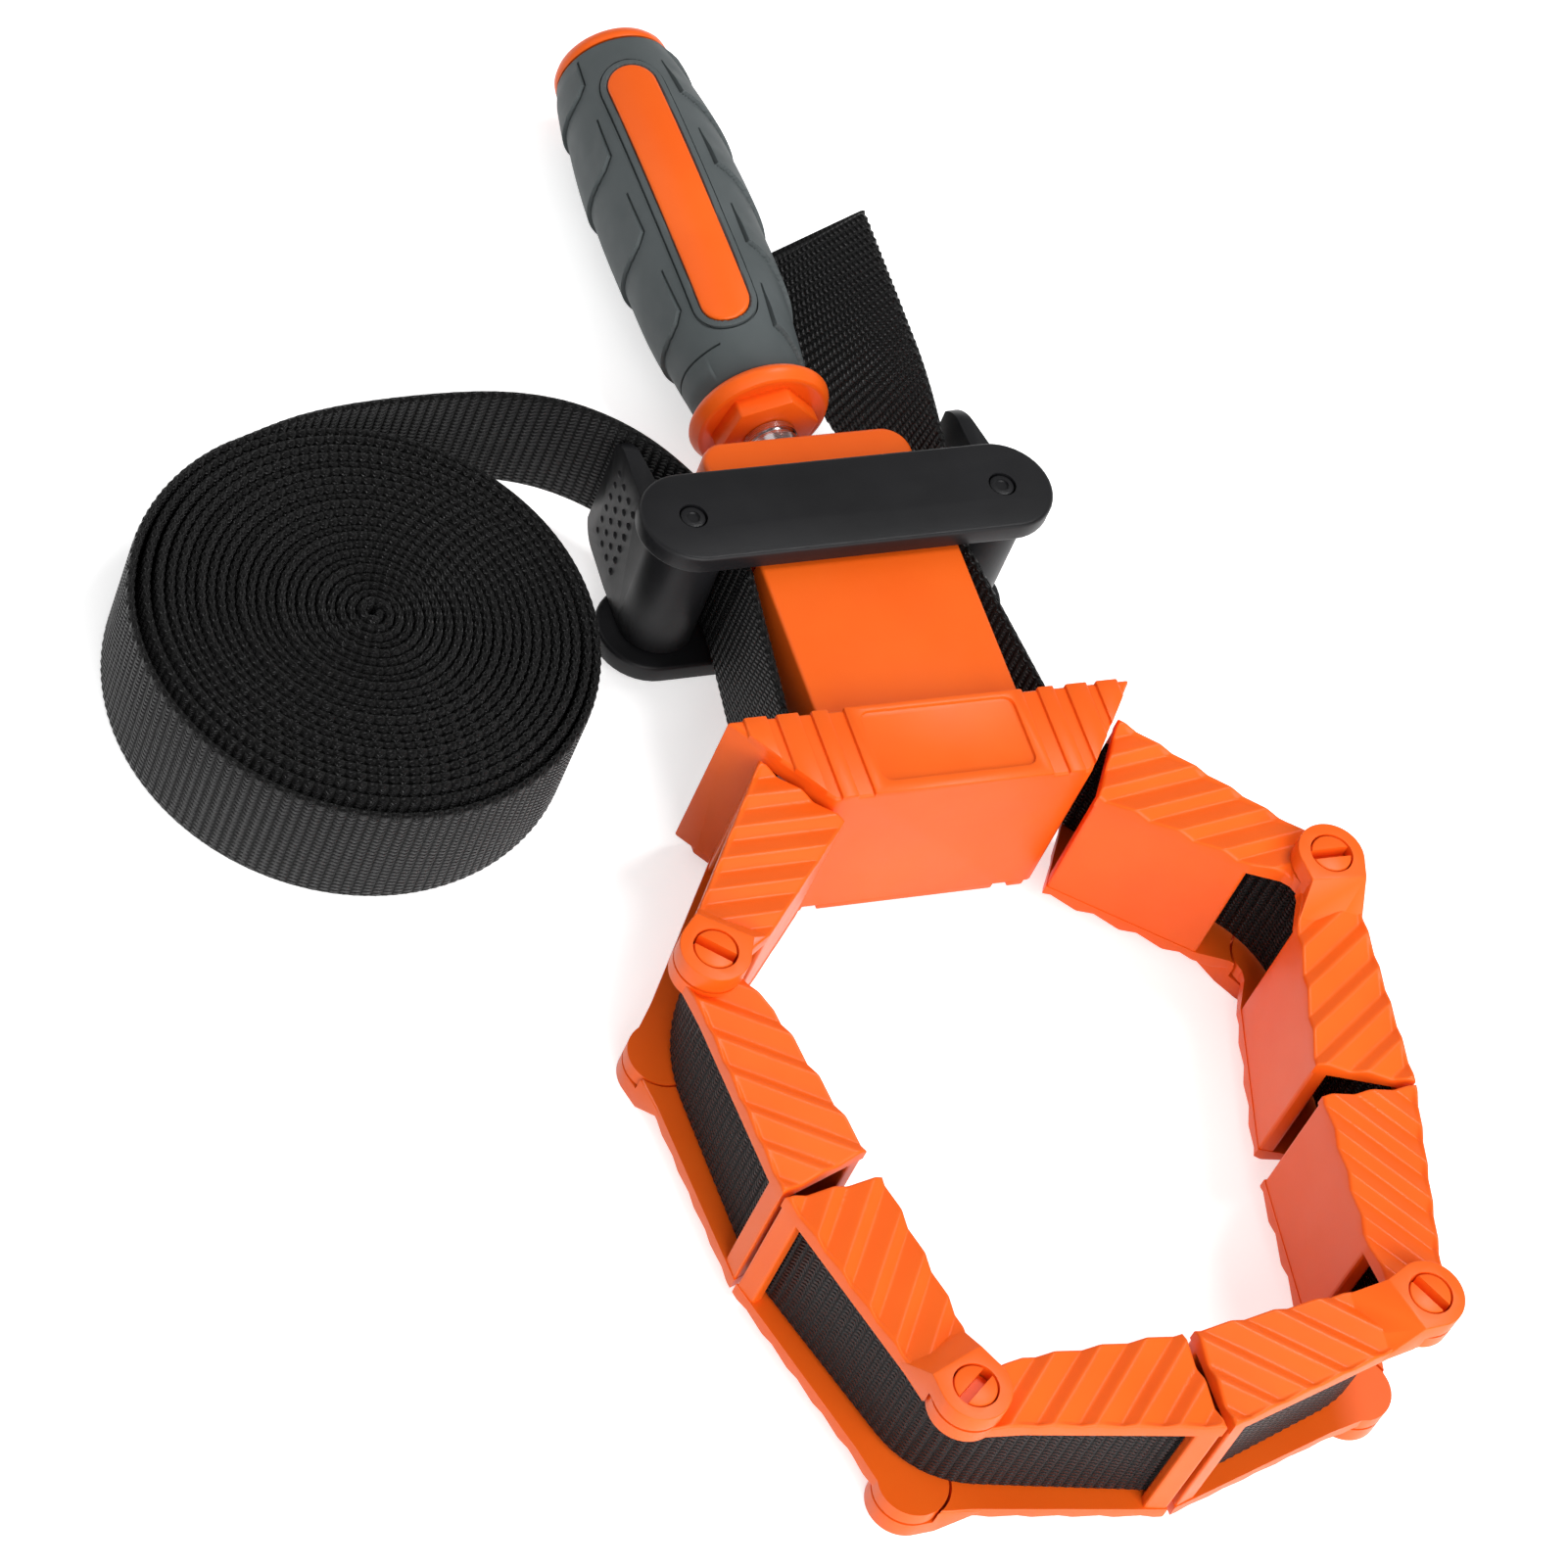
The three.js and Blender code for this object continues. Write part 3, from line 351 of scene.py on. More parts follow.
def modify(piece, kind, **settings):
    pick(piece)
    modifier = piece.modifiers.new(kind.title(), kind)
    for key, value in settings.items():
        setattr(modifier, key, value)
    bpy.ops.object.modifier_apply(modifier=modifier.name)
    return piece


def face_outwards(piece):
    """Welds a piece's seams, drops loose bits and turns its faces outwards."""
    edit_all(piece)
    bpy.ops.mesh.remove_doubles(threshold=WELD)
    bpy.ops.mesh.delete_loose()
    bpy.ops.mesh.select_all(action="SELECT")
    bpy.ops.mesh.normals_make_consistent(inside=False)
    bpy.ops.object.mode_set(mode="OBJECT")
    return piece


def leave_edit(piece):
    bpy.ops.object.mode_set(mode="OBJECT")
    return face_outwards(piece)


def round_edges(piece, width, segments=2, angle=35):
    return modify(piece, "BEVEL", width=width, segments=segments, limit_method="ANGLE",
                  angle_limit=math.radians(angle))


def combine(piece, other, operation):
    modify(piece, "BOOLEAN", object=other, operation=operation, solver="MANIFOLD")
    bpy.data.objects.remove(other)
    return piece


def cut(piece, *tools):
    for tool in tools:
        combine(piece, tool, "DIFFERENCE")
    return piece


def fuse(piece, *others):
    for other in others:
        combine(piece, other, "UNION")
    return piece


def block(x0, x1, y0, y1, z0, z1):
    deselect()
    middle = ((x0 + x1) / 2, (y0 + y1) / 2, (z0 + z1) / 2)
    bpy.ops.mesh.primitive_cube_add(size=1, location=middle, scale=(x1 - x0, y1 - y0, z1 - z0))
    return settle(bpy.context.object)


def ring(points, fill):
    """A ring of vertices, pulled to the given points."""
    deselect()
    bpy.ops.mesh.primitive_circle_add(vertices=len(points), fill_type=fill)
    piece = bpy.context.object
    for vertex, point in zip(piece.data.vertices, points):
        vertex.co = point
    return piece


def slab(points, low, high):
    """An outline in plan, drawn as a filled ring and extruded upwards."""
    piece = ring([(x, y, low) for x, y in points], "NGON")
    edit_all(piece)
    bpy.ops.mesh.extrude_region_move(TRANSFORM_OT_translate={"value": (0, 0, high - low)})
    return leave_edit(piece)


def turned(profile, sides=72):
    """A closed profile of radius and y, spun about the spindle's axis."""
    piece = ring([(radius, y, 0) for radius, y in profile], "NOTHING")
    edit_all(piece)
    bpy.ops.mesh.spin(steps=sides, angle=2 * math.pi, center=(0, 0, 0), axis=(0, 1, 0))
    return leave_edit(piece)


def bar(half_width, start, end, half_height):
    """A block along the spindle's axis."""
    return block(-half_width, half_width, start, end, -half_height, half_height)


def cylinder(radius, length, middle, turn, sides):
    deselect()
    bpy.ops.mesh.primitive_cylinder_add(vertices=sides, radius=radius, depth=length,
                                        location=middle, rotation=turn)
    return settle(bpy.context.object)


def post(radius, x, y, low, high, sides=48):
    return cylinder(radius, high - low, (x, y, (low + high) / 2), (0, 0, 0), sides)


def shaft(radius, start, end, sides=48):
    return cylinder(radius, end - start, (0, (start + end) / 2, 0), (math.pi / 2, 0, 0), sides)


def slice_off(piece, point, normal):
    """Cuts away what lies on the normal's side of a plane and closes the cut."""
    edit_all(piece)
    bpy.ops.mesh.bisect(plane_co=point, plane_no=normal, use_fill=True, clear_outer=True)
    return leave_edit(piece)


def moulded_grid(across, along, place):
    """A grid whose points are pulled to where place(s, t) puts them, with s and t from 0 to 1."""
    deselect()
    bpy.ops.mesh.primitive_grid_add(x_subdivisions=across, y_subdivisions=along, size=1)
    piece = bpy.context.object
    for vertex in piece.data.vertices:
        vertex.co = place(vertex.co.x + 0.5, vertex.co.y + 0.5)
    return piece


def thicken_down(piece, level):
    """Extrudes a moulded grid and sets the new side flat at one level."""
    edit_all(piece)
    bpy.ops.mesh.extrude_region_move(TRANSFORM_OT_translate={"value": (0, 0, 0)})
    bpy.ops.object.mode_set(mode="OBJECT")
    for vertex in piece.data.vertices:
        if vertex.select:
            vertex.co.z = level
    return face_outwards(piece)


def new_object(name, data):
    made = bpy.data.objects.new(name, data)
    bpy.context.scene.collection.objects.link(made)
    return made


def tube_corners(rows, size):
    """The faces of a closed tube, each as rows and columns of its corners: the sides and then both ends."""
    sides = [[(i, k), (i, k + 1), (i + 1, k + 1), (i + 1, k)] for i in range(rows - 1) for k in range(size)]
    start = [(0, -k % size) for k in range(size)]
    end = [(rows - 1, (k - 1) % size) for k in range(size)]
    return [*sides, start, end]


def tube(name, points, size):
    """A closed tube through rows of points."""
    corners = tube_corners(len(points) // size, size)
    mesh = bpy.data.meshes.new(name)
    mesh.from_pydata(points, [], [[row * size + column % size for row, column in face] for face in corners])
    return new_object(name, mesh)


def moved_copy(piece, matrix):
    copy = piece.copy()
    copy.data = piece.data.copy()
    bpy.context.scene.collection.objects.link(copy)
    copy.matrix_world = matrix @ piece.matrix_world
    return settle(copy)


def gather(piece, *others):
    """Joins pieces of one moulding that are not cut into each other."""
    deselect()
    for other in (piece, *others):
        other.select_set(True)
    bpy.context.view_layer.objects.active = piece
    bpy.ops.object.join()
    return piece


def hand_over(piece, name, finish, slot, body, *nodes, smooth=32):
    """Brings a finished piece to metres, gives it its name, finish and body, and hides the solids it stands
    for.
    """
    piece.name = name
    piece.data.name = name
    piece.data.transform(Matrix.Scale(MM, 4))
    piece.data.materials.clear()
    piece.data.materials.append(finish)
    pick(piece)
    bpy.ops.object.shade_smooth_by_angle(angle=math.radians(smooth))
    if nodes:
        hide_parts(*nodes)
    if body:
        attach(piece, body)
    return piece


def arc(x, y, radius, start, end, steps):
    angles = [start + (end - start) * i / steps for i in range(steps + 1)]
    return [(x + radius * math.cos(a), y + radius * math.sin(a)) for a in angles]


def rounded_rect(x0, x1, y0, y1, radius, steps=6):
    left, right, front, rear = x0 + radius, x1 - radius, y0 + radius, y1 - radius
    quarter = math.pi / 2
    outline = []
    for i, (x, y) in enumerate(((right, rear), (left, rear), (left, front), (right, front))):
        outline += arc(x, y, radius, i * quarter, (i + 1) * quarter, steps)
    return outline


def between(table, x):
    """Straight interpolation in a short table of pairs."""
    for (x0, y0), (x1, y1) in zip(table, table[1:]):
        if x <= x1:
            break
    return y0 + (y1 - y0) * (x - x0) / (x1 - x0)


def clamp(x, low, high):
    return min(max(x, low), high)


def smooth_step(low, high, x):
    t = clamp((x - low) / (high - low), 0, 1)
    return t * t * (3 - 2 * t)


def lean_matrix():
    pivot = Matrix.Translation((0, LEAN_PIVOT_Y, 0))
    turn = Matrix.Rotation(LEAN_LEFT, 4, "Z") @ Matrix.Rotation(-LEAN_DOWN, 4, "X")
    return pivot @ turn @ pivot.inverted()


LEAN = lean_matrix()


def lean(piece):
    piece.matrix_world = LEAN
    return settle(piece)


def leaned(x, y):
    point = LEAN @ Vector((x, y, 0))
    return (point.x, point.y)


# Finishes

def feed(tree, made, values):
    """Fills a node's inputs: another node's output is linked, and a plain value is written in."""
    for key, value in values.items():
        if isinstance(value, bpy.types.NodeSocket):
            tree.links.new(value, made.inputs[key])
        else:
            made.inputs[key].default_value = value


def node(tree, kind, values=None, **settings):
    made = tree.nodes.new(kind)
    for key, setting in settings.items():
        setattr(made, key, setting)
    feed(tree, made, values or {})
    return made


def new_finish(name):
    finish = bpy.data.materials.new(name)
    finish.use_nodes = True
    return finish, finish.node_tree, finish.node_tree.nodes["Principled BSDF"]


def object_place(tree):
    return node(tree, "ShaderNodeTexCoord").outputs["Object"]


def noise(tree, scale, detail=3.0):
    values = {"Vector": object_place(tree), "Scale": scale, "Detail": detail}
    return node(tree, "ShaderNodeTexNoise", values).outputs["Fac"]


def ramp(tree, source, stops):
    made = node(tree, "ShaderNodeValToRGB", {"Fac": source})
    for element, (position, color) in zip(made.color_ramp.elements, stops):
        element.position = position
        element.color = (*color, 1)
    return made.outputs["Color"]


def levels(tree, source, low, high, start=0, end=1):
    """Brings a value that runs from start to end into the range from low to high."""
    values = {"Value": source, "From Min": start, "From Max": end, "To Min": low, "To Max": high}
    return node(tree, "ShaderNodeMapRange", values).outputs["Result"]


def relief(tree, height, strength, distance):
    values = {"Height": height, "Strength": strength, "Distance": distance}
    return node(tree, "ShaderNodeBump", values).outputs["Normal"]


def maths(tree, operation, *terms):
    made = node(tree, "ShaderNodeMath", operation=operation)
    feed(tree, made, dict(enumerate(terms)))
    return made.outputs["Value"]


def moulding(name, dark, light, smoothest, roughest, grain, gloss, scales=(45, 160, 2600), mottle_start=0.35):
    """Plastic or rubber: faintly mottled, unevenly smooth and finely grained, on the given scales."""
    finish, tree, shader = new_finish(name)
    mottle, smoothness, grains = scales
    feed(tree, shader, {
        "Base Color": ramp(tree, noise(tree, mottle), [(mottle_start, dark), (0.7, light)]),
        "Roughness": levels(tree, noise(tree, smoothness), smoothest, roughest),
        "Specular IOR Level": gloss,
        "Normal": relief(tree, noise(tree, grains, 2.0), grain, 0.0001),
    })
    return finish


def turned_steel():
    """Bright steel with fine rings round the spindle's axis."""
    finish, tree, shader = new_finish("turned_steel")
    values = {"Vector": object_place(tree), "Scale": 900.0, "Distortion": 1.5}
    rings = node(tree, "ShaderNodeTexWave", values, bands_direction="Y").outputs["Fac"]
    feed(tree, shader, {
        "Base Color": ramp(tree, noise(tree, 220), [(0.3, (0.48, 0.48, 0.49)), (0.7, (0.66, 0.66, 0.67))]),
        "Metallic": 1,
        "Roughness": levels(tree, rings, 0.14, 0.3),
        "Normal": relief(tree, rings, 0.15, 0.00005),
    })
    return finish


def painted_edge_shade(tree, across):
    """One on the band's faces, and less on its two edges, where it paints shade."""
    edge = math.pi * BAND_THICK / 2
    face = BAND_WIDTH - BAND_THICK
    from_edge = maths(tree, "PINGPONG", maths(tree, "SUBTRACT", across, edge / 2), (edge + face) / 2)
    start, end = (share * edge / 2 for share in PAINTED_SHADE_SPAN)
    return levels(tree, from_edge, EDGE_PAINTED_SHADE, 1, start, end)


def woven_webbing():
    """Cross ribs of stitches that shift by half a stitch from rib to rib.

    One unit of the map is one rib along the band and one stitch across it.
    """
    finish, tree, shader = new_finish("woven_webbing")
    weave = node(tree, "ShaderNodeUVMap", uv_map="weave").outputs["UV"]
    parts = node(tree, "ShaderNodeSeparateXYZ", {"Vector": weave})
    along, across = parts.outputs["X"], parts.outputs["Y"]
    shift = maths(tree, "MULTIPLY", maths(tree, "MODULO", maths(tree, "FLOOR", along), 2), 0.5)
    rib = maths(tree, "ABSOLUTE", maths(tree, "SINE", maths(tree, "MULTIPLY", along, math.pi)))
    stitch = maths(tree, "SINE", maths(tree, "MULTIPLY", maths(tree, "ADD", across, shift), math.pi))
    thread = maths(tree, "MULTIPLY", rib, maths(tree, "ADD", maths(tree, "ABSOLUTE", stitch), 0.5))
    fuzz = noise(tree, 900)
    height = maths(tree, "ADD", thread, maths(tree, "MULTIPLY", fuzz, 0.35))
    # the colour is darker in the weave's valleys and on the edges: painted shade; the fuzz adds random tone
    shade = maths(tree, "MULTIPLY", height, painted_edge_shade(tree, across))
    feed(tree, shader, {
        "Base Color": ramp(tree, shade, [(0.15, (0.001, 0.0009, 0.0009)), (1.0, (0.0085, 0.008, 0.0088))]),
        "Roughness": levels(tree, height, 0.9, 0.34),
        "Specular IOR Level": 0.28,
        "Sheen Weight": 0.03,
        "Normal": relief(tree, height, 1.0, 0.0007),
    })
    return finish


ORANGE = moulding("orange_plastic", dark=(0.93, 0.122, 0.007), light=(0.96, 0.14, 0.01),
                  smoothest=0.32, roughest=0.44, grain=0.12, gloss=0.28)
BLACK = moulding("black_plastic", dark=(0.008, 0.008, 0.009), light=(0.012, 0.012, 0.0135),
                 smoothest=0.36, roughest=0.5, grain=0.15, gloss=0.28)
RUBBER = moulding("grip_rubber", dark=(0.075, 0.088, 0.09), light=(0.096, 0.11, 0.113),
                  smoothest=0.52, roughest=0.7, grain=0.2, gloss=0.3,
                  scales=(70, 300, 4200), mottle_start=0.3)
STEEL = turned_steel()
WEBBING = woven_webbing()


# Camera, floor and light

def add_camera():
    data = bpy.data.cameras.new("camera")
    data.lens = CAMERA_LENS
    data.sensor_width = SENSOR_WIDTH
    camera = new_object("camera", data)
    camera.location = Vector(CAMERA_PLACE) * MM
    camera.rotation_euler = [math.radians(angle) for angle in CAMERA_TURN]
    bpy.context.scene.camera = camera


def add_lamp(name, place, target, size, watts):
    data = bpy.data.lights.new(name, "AREA")
    data.shape = "DISK"
    data.size = size
    data.energy = watts
    made = new_object(name, data)
    made.location = place
    made.rotation_euler = (Vector(target) - Vector(place)).to_track_quat("-Z", "Y").to_euler()


def seen_directly(tree):
    """One for what the camera sees directly, in a mirror or through glass, and nought for other light."""
    path = node(tree, "ShaderNodeLightPath")
    glossy = maths(tree, "MAXIMUM", path.outputs["Is Camera Ray"], path.outputs["Is Glossy Ray"])
    return maths(tree, "MAXIMUM", glossy, path.outputs["Is Transmission Ray"])


def light_world():
    """White all round where it is seen directly, and dimmer overhead, as a ceiling is."""
    world = bpy.data.worlds.new("studio")
    bpy.context.scene.world = world
    world.use_nodes = True
    tree = world.node_tree
    way = node(tree, "ShaderNodeTexCoord").outputs["Generated"]
    upward = node(tree, "ShaderNodeSeparateXYZ", {"Vector": way}).outputs["Z"]
    shown = levels(tree, upward, 1, CEILING_SHOWN, *CEILING_SPAN)
    strength = levels(tree, seen_directly(tree), WORLD_LIGHT, shown)
    feed(tree, tree.nodes["Background"], {"Color": (1, 1, 1, 1), "Strength": strength})


def add_floor():
    """A white floor that glows a little to the camera, so that only the contact shadow shows."""
    deselect()
    bpy.ops.mesh.primitive_plane_add(size=FLOOR_SIZE, location=(0, 0, (FLOOR - FLOOR_SINK) * MM))
    floor = settle(bpy.context.object)
    floor.name = "floor"
    finish, tree, shader = new_finish("white_floor")
    feed(tree, shader, {
        "Base Color": (0.9, 0.9, 0.9, 1),
        "Roughness": 0.9,
        "Emission Color": (1, 1, 1, 1),
        "Emission Strength": levels(tree, seen_directly(tree), 0, FLOOR_GLOW),
    })
    floor.data.materials.append(finish)


# Band

def strap_section():
    """Outline of the band's section as pairs of out and up, with both edges rounded."""
    radius = BAND_THICK / 2
    rise = BAND_WIDTH / 2 - radius
    turns = [i * math.pi / 4 for i in range(5)]
    over = [(radius * math.cos(turn), rise + radius * math.sin(turn)) for turn in turns]
    under = [(-out, -up) for out, up in over]
    return over + under


def route_length(stations):
    return sum(math.dist(a, b) for a, b in zip(stations, stations[1:]))


def even_steps(route, count):
    """The same route in even steps."""
    whole = route_length(route)
    even, at, done = [], 0, 0
    for i in range(count):
        wanted = whole * i / count
        while done + math.dist(route[at], route[at + 1]) < wanted:
            done += math.dist(route[at], route[at + 1])
            at += 1
        share = (wanted - done) / math.dist(route[at], route[at + 1])
        even.append(tuple(a + (b - a) * share for a, b in zip(route[at], route[at + 1])))
    return [*even, route[-1]]


def units_passed(points, unit):
    """How many units of the weave lie before each point."""
    passed = [0]
    for a, b in zip(points, points[1:]):
        passed.append(passed[-1] + math.dist(a, b) / unit)
    return passed


def strap_points(stations, section, end_cut, end_twist):
    """The section at every station: by turns a rib of the faces and a bump of the edges stands out."""
    points = []
    last = len(stations) - 1
    for i, (x, y, bottom) in enumerate(stations):
        before, after = stations[max(i - 1, 0)], stations[min(i + 1, last)]
        along = Vector((after[0] - before[0], after[1] - before[1], 0)).normalized()
        sideways = Vector((-along.y, along.x, 0))
        twist = end_twist * smooth_step(*TWIST_SPAN, i / last)
        rib = RIB_RISE if i % 2 else -RIB_RISE
        bump = 0 if i % 2 else SELVEDGE_RISE
        for flat_out, flat_up in section:
            face = round(2 * flat_out / BAND_THICK)  # 1 and -1 on the two faces, 0 on the edges
            out = flat_out + rib * face
            up = flat_up + math.copysign(bump, flat_up)
            slant = end_cut * (0.5 - up / BAND_WIDTH) * (i == last)
            aside = out * math.cos(twist) - up * math.sin(twist)
            rise = BAND_WIDTH / 2 + out * math.sin(twist) + up * math.cos(twist)
            points.append(Vector((x, y, bottom + rise)) + sideways * aside + along * slant)
    return points


def strap(route, end_cut=0, end_twist=0):
    """A strip on edge through stations of x, y and bottom, ribbed and with its weave mapped along it."""
    stations = even_steps(route, 2 * round(route_length(route) / RIB_OF_WEAVE))
    section = strap_section()
    piece = tube("strap", strap_points(stations, section, end_cut, end_twist), len(section))
    run = units_passed([station[:2] for station in stations], RIB_OF_WEAVE)
    around = units_passed(section + section[:1], STITCH_OF_WEAVE)
    faces = tube_corners(len(stations), len(section))
    places = [(run[row], around[column]) for face in faces for row, column in face]
    for loop, place in zip(piece.data.uv_layers.new(name="weave").data, places):
        loop.uv = place
    return piece


def level(points):
    return [(x, y, -BAND_WIDTH / 2) for x, y in points]


def towards(start, end, distance):
    share = distance / math.dist(start, end)
    return (start[0] + (end[0] - start[0]) * share, start[1] + (end[1] - start[1]) * share)


def bend(start, corner, end, steps):
    """A curve that sets out towards a corner and comes to the end from there."""
    points = []
    for i in range(steps + 1):
        t = i / steps
        first, middle, last = (1 - t) ** 2, 2 * t * (1 - t), t * t
        points.append(tuple(first * a + middle * b + last * c for a, b, c in zip(start, corner, end)))
    return points


def beyond(point, other):
    """The mirror image of the other point about a point."""
    return tuple(2 * a - b for a, b in zip(point, other))


def mix(a, b, k, start, end):
    """The point that lies between a and b as k lies between start and end."""
    return [(end - k) / (end - start) * p + (k - start) / (end - start) * q for p, q in zip(a, b)]


def curve_through(points, steps):
    """Even steps along a smooth curve through the points, whose knots follow the root of their distances."""
    whole = [beyond(points[0], points[1]), *points, beyond(points[-1], points[-2])]
    fine = []
    for p0, p1, p2, p3 in zip(whole, whole[1:], whole[2:], whole[3:]):
        k1 = math.dist(p0, p1) ** 0.5
        k2 = k1 + math.dist(p1, p2) ** 0.5
        k3 = k2 + math.dist(p2, p3) ** 0.5
        for i in range(CURVE_STEPS):
            k = k1 + (k2 - k1) * i / CURVE_STEPS
            a1 = mix(p0, p1, k, 0, k1)
            a2 = mix(p1, p2, k, k1, k2)
            a3 = mix(p2, p3, k, k2, k3)
            b1 = mix(a1, a2, k, 0, k2)
            b2 = mix(a2, a3, k, k1, k3)
            fine.append(mix(b1, b2, k, k1, k2))
    return even_steps([*fine, points[-1]], steps)


def joint_place(name):
    joint = next(j for j in frame["joints"] if j["name"] == name)
    return tuple(c / MM for c in joint["pos_m"][:2])


def far_flex(start, end, reach):
    """Bending point between the two far hinge pins, on the side away from the work."""
    dx, dy = end[0] - start[0], end[1] - start[1]
    half = math.hypot(dx, dy) / 2
    rise = math.sqrt(reach ** 2 - half ** 2) / (2 * half)
    return ((start[0] + end[0]) / 2 - rise * dy, (start[1] + end[1]) / 2 + rise * dx)


def jaw_plan():
    pins = {letter: joint_place("knuckle_" + letter) for letter in "abcd"}
    right, left = joint_place("head_to_a"), joint_place("head_to_d")
    side_ab, side_cd = joint_place("a_to_b"), joint_place("d_to_c")
    far = far_flex(pins["b"], pins["c"], math.dist(pins["a"], right))
    ends = {"a": (right, side_ab), "b": (side_ab, far), "c": (far, side_cd), "d": (side_cd, left)}
    return {letter: (pins[letter], ends[letter]) for letter in "abcd"}


JAWS = jaw_plan()


def hand_over_band(piece, name, body, *nodes):
    return hand_over(piece, name, WEBBING, "webbing", body, *nodes, smooth=BAND_SMOOTH)


def add_jaw_bands():
    for letter, (pin, (start, end)) in JAWS.items():
        into = towards(pin, start, KNUCKLE_BEND)
        out = towards(pin, end, KNUCKLE_BEND)
        bent = bend(into, pin, out, KNUCKLE_STEPS)
        points = [towards(start, pin, GAP), *bent, towards(end, pin, GAP)]
        solids = ["band_" + letter + "1", "band_" + letter + "2", "band_knuckle_" + letter]
        piece = hand_over_band(strap(level(points)), "corner_band_" + letter, None, *solids)
        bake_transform(piece)
        route_length(points)


def add_stem_bands():
    for name, side, letter, index in (("right", 1, "a", 0), ("left", -1, "d", 1)):
        pin, ends = JAWS[letter]
        flex = ends[index]
        cam = leaned(side * PINCH_X, CAM_FRONT_Y)
        mouth = (side * MOUTH[0], MOUTH[1])
        corner = towards(flex, pin, -HEAD_BAND_CORNER)
        bent = bend(mouth, corner, towards(flex, pin, -GAP), HEAD_BEND_STEPS)
        points = [towards(cam, mouth, GAP), *bent]
        solids = ["band_run_" + name, "band_head_" + name]
        piece = hand_over_band(strap(level(points)), "stem_band_" + name, None, *solids)
        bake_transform(piece)
        route_length(points)


def coil_stations():
    """The wound length from the middle outwards; its last loops lie loose round the others."""
    stations = []
    pitch = (COIL_OUTER - COIL_INNER) / COIL_LOOPS
    shift_start, shift_end = (COIL_LOOPS - loops for loops in SHIFT_SPAN)
    turn = 0
    while turn < COIL_LOOPS:
        loose = smooth_step(COIL_LOOPS - LOOSE_LOOPS, COIL_LOOPS, turn)
        radius = COIL_INNER + pitch * turn + COIL_LOOSE * loose
        angle = COIL_END_ANGLE + 2 * math.pi * (COIL_LOOPS - turn)
        shift = COIL_SHIFT * (1 - smooth_step(shift_start, shift_end, turn))
        x = COIL_CENTRE[0] + shift + radius * math.cos(angle)
        y = COIL_CENTRE[1] + shift + radius * math.sin(angle)
        slip = COIL_SLIP * (1 + math.sin(SLIP_WAVES[0] * turn) * math.cos(SLIP_WAVES[1] * turn))
        stations.append((x, y, COIL_BOTTOM + slip * (1 - loose)))
        turn += RIB_OF_WEAVE / (2 * math.pi * radius)
    return stations


def pinch_points(side):
    """The straight way between cam and slide block, from the front of the cam to behind its pin."""
    return [leaned(side * PINCH_X, y) for y in (CAM_FRONT_Y, CAM_PIN_Y, CAM_PIN_Y + PINCH_BACK)]


def lead_stations(start):
    """From the coil's far side round the tip of the left lever and through the cam, rising off the floor."""
    points = curve_through([start, *LEAD_ROUTE, *pinch_points(-1)[::-1]], LEAD_STEPS)
    rise = -BAND_WIDTH / 2 - COIL_BOTTOM
    lifts = [rise * smooth_step(*LEAD_RISE_SPAN, i / LEAD_STEPS) for i in range(LEAD_STEPS + 1)]
    return [(x, y, COIL_BOTTOM + lift) for (x, y), lift in zip(points, lifts)][1:]


def add_long_end():
    coil = coil_stations()
    stations = coil + lead_stations(coil[-1][:2])
    piece = hand_over_band(strap(stations), "wound_band", "crossbar", "band_coil")
    route_length(stations)


def add_tail():
    points = curve_through([*pinch_points(1), *TAIL_ROUTE], TAIL_STEPS)
    droop = [TAIL_DROOP * (i / TAIL_STEPS) ** 2 for i in range(TAIL_STEPS + 1)]
    hanging = [(x, y, -BAND_WIDTH / 2 - fall) for (x, y), fall in zip(points, droop)]
    piece = strap(hanging, TAIL_CUT, TAIL_TWIST)
    hand_over_band(piece, "short_band_end", "crossbar", "band_tail")
    route_length(points)


# Jaw leaves

def spread(t):
    """Crowds evenly spaced rows towards both ends, where the edges are rounded."""
    return t - CROWDING * math.sin(2 * math.pi * t) / (2 * math.pi)


def edge_drop(distance, radius):
    if distance >= radius:
        return 0
    return radius - math.sqrt(max(radius ** 2 - (radius - distance) ** 2, 0))


def leaf_end(v):
    return LEAF_END - v * END_MITRE


def rib_height(across):
    """Height of a slanting rib from nought to one: steep towards the hinge pin and sharp in the valleys."""
    place = across / LEAF_RIB_PITCH % 1
    rise = place / LEAF_RIB_CREST
    fall = (1 - place) / (1 - LEAF_RIB_CREST)
    return -LEAF_RIB_ROUND * math.log(math.exp(-rise / LEAF_RIB_ROUND) + math.exp(-fall / LEAF_RIB_ROUND))


def flange_point(side):
    def place(s, t):
        v = FLANGE_FIRST_V
        for _ in range(FLANGE_ROUNDS):
            length = leaf_end(v) - LEAF_START
            share = 1 - (1 - s) ** FLANGE_CROWDING
            u = LEAF_START + length * share
            low, high = between(OUTER_EDGE, u), between(WORK_EDGE, u)
            v = low + (high - low) * spread(t)
        across = u * math.sin(LEAF_RIB_ANGLE) - v * math.cos(LEAF_RIB_ANGLE)
        valley = 1 - rib_height(across)
        rim = 0.5 + 0.5 * smooth_step(*VALLEY_SPAN, v - low)
        distance = min(v - low, high - v, length * (1 - share))
        z = JAW_HALF - LEAF_RIB_HEIGHT * valley * rim - edge_drop(distance, FLANGE_EDGE)
        return (u, v, side * z)
    return place


def ribbed_flange(side):
    piece = moulded_grid(*FLANGE_GRID, flange_point(side))
    return thicken_down(piece, side * (JAW_HALF - FLANGE_THICK))


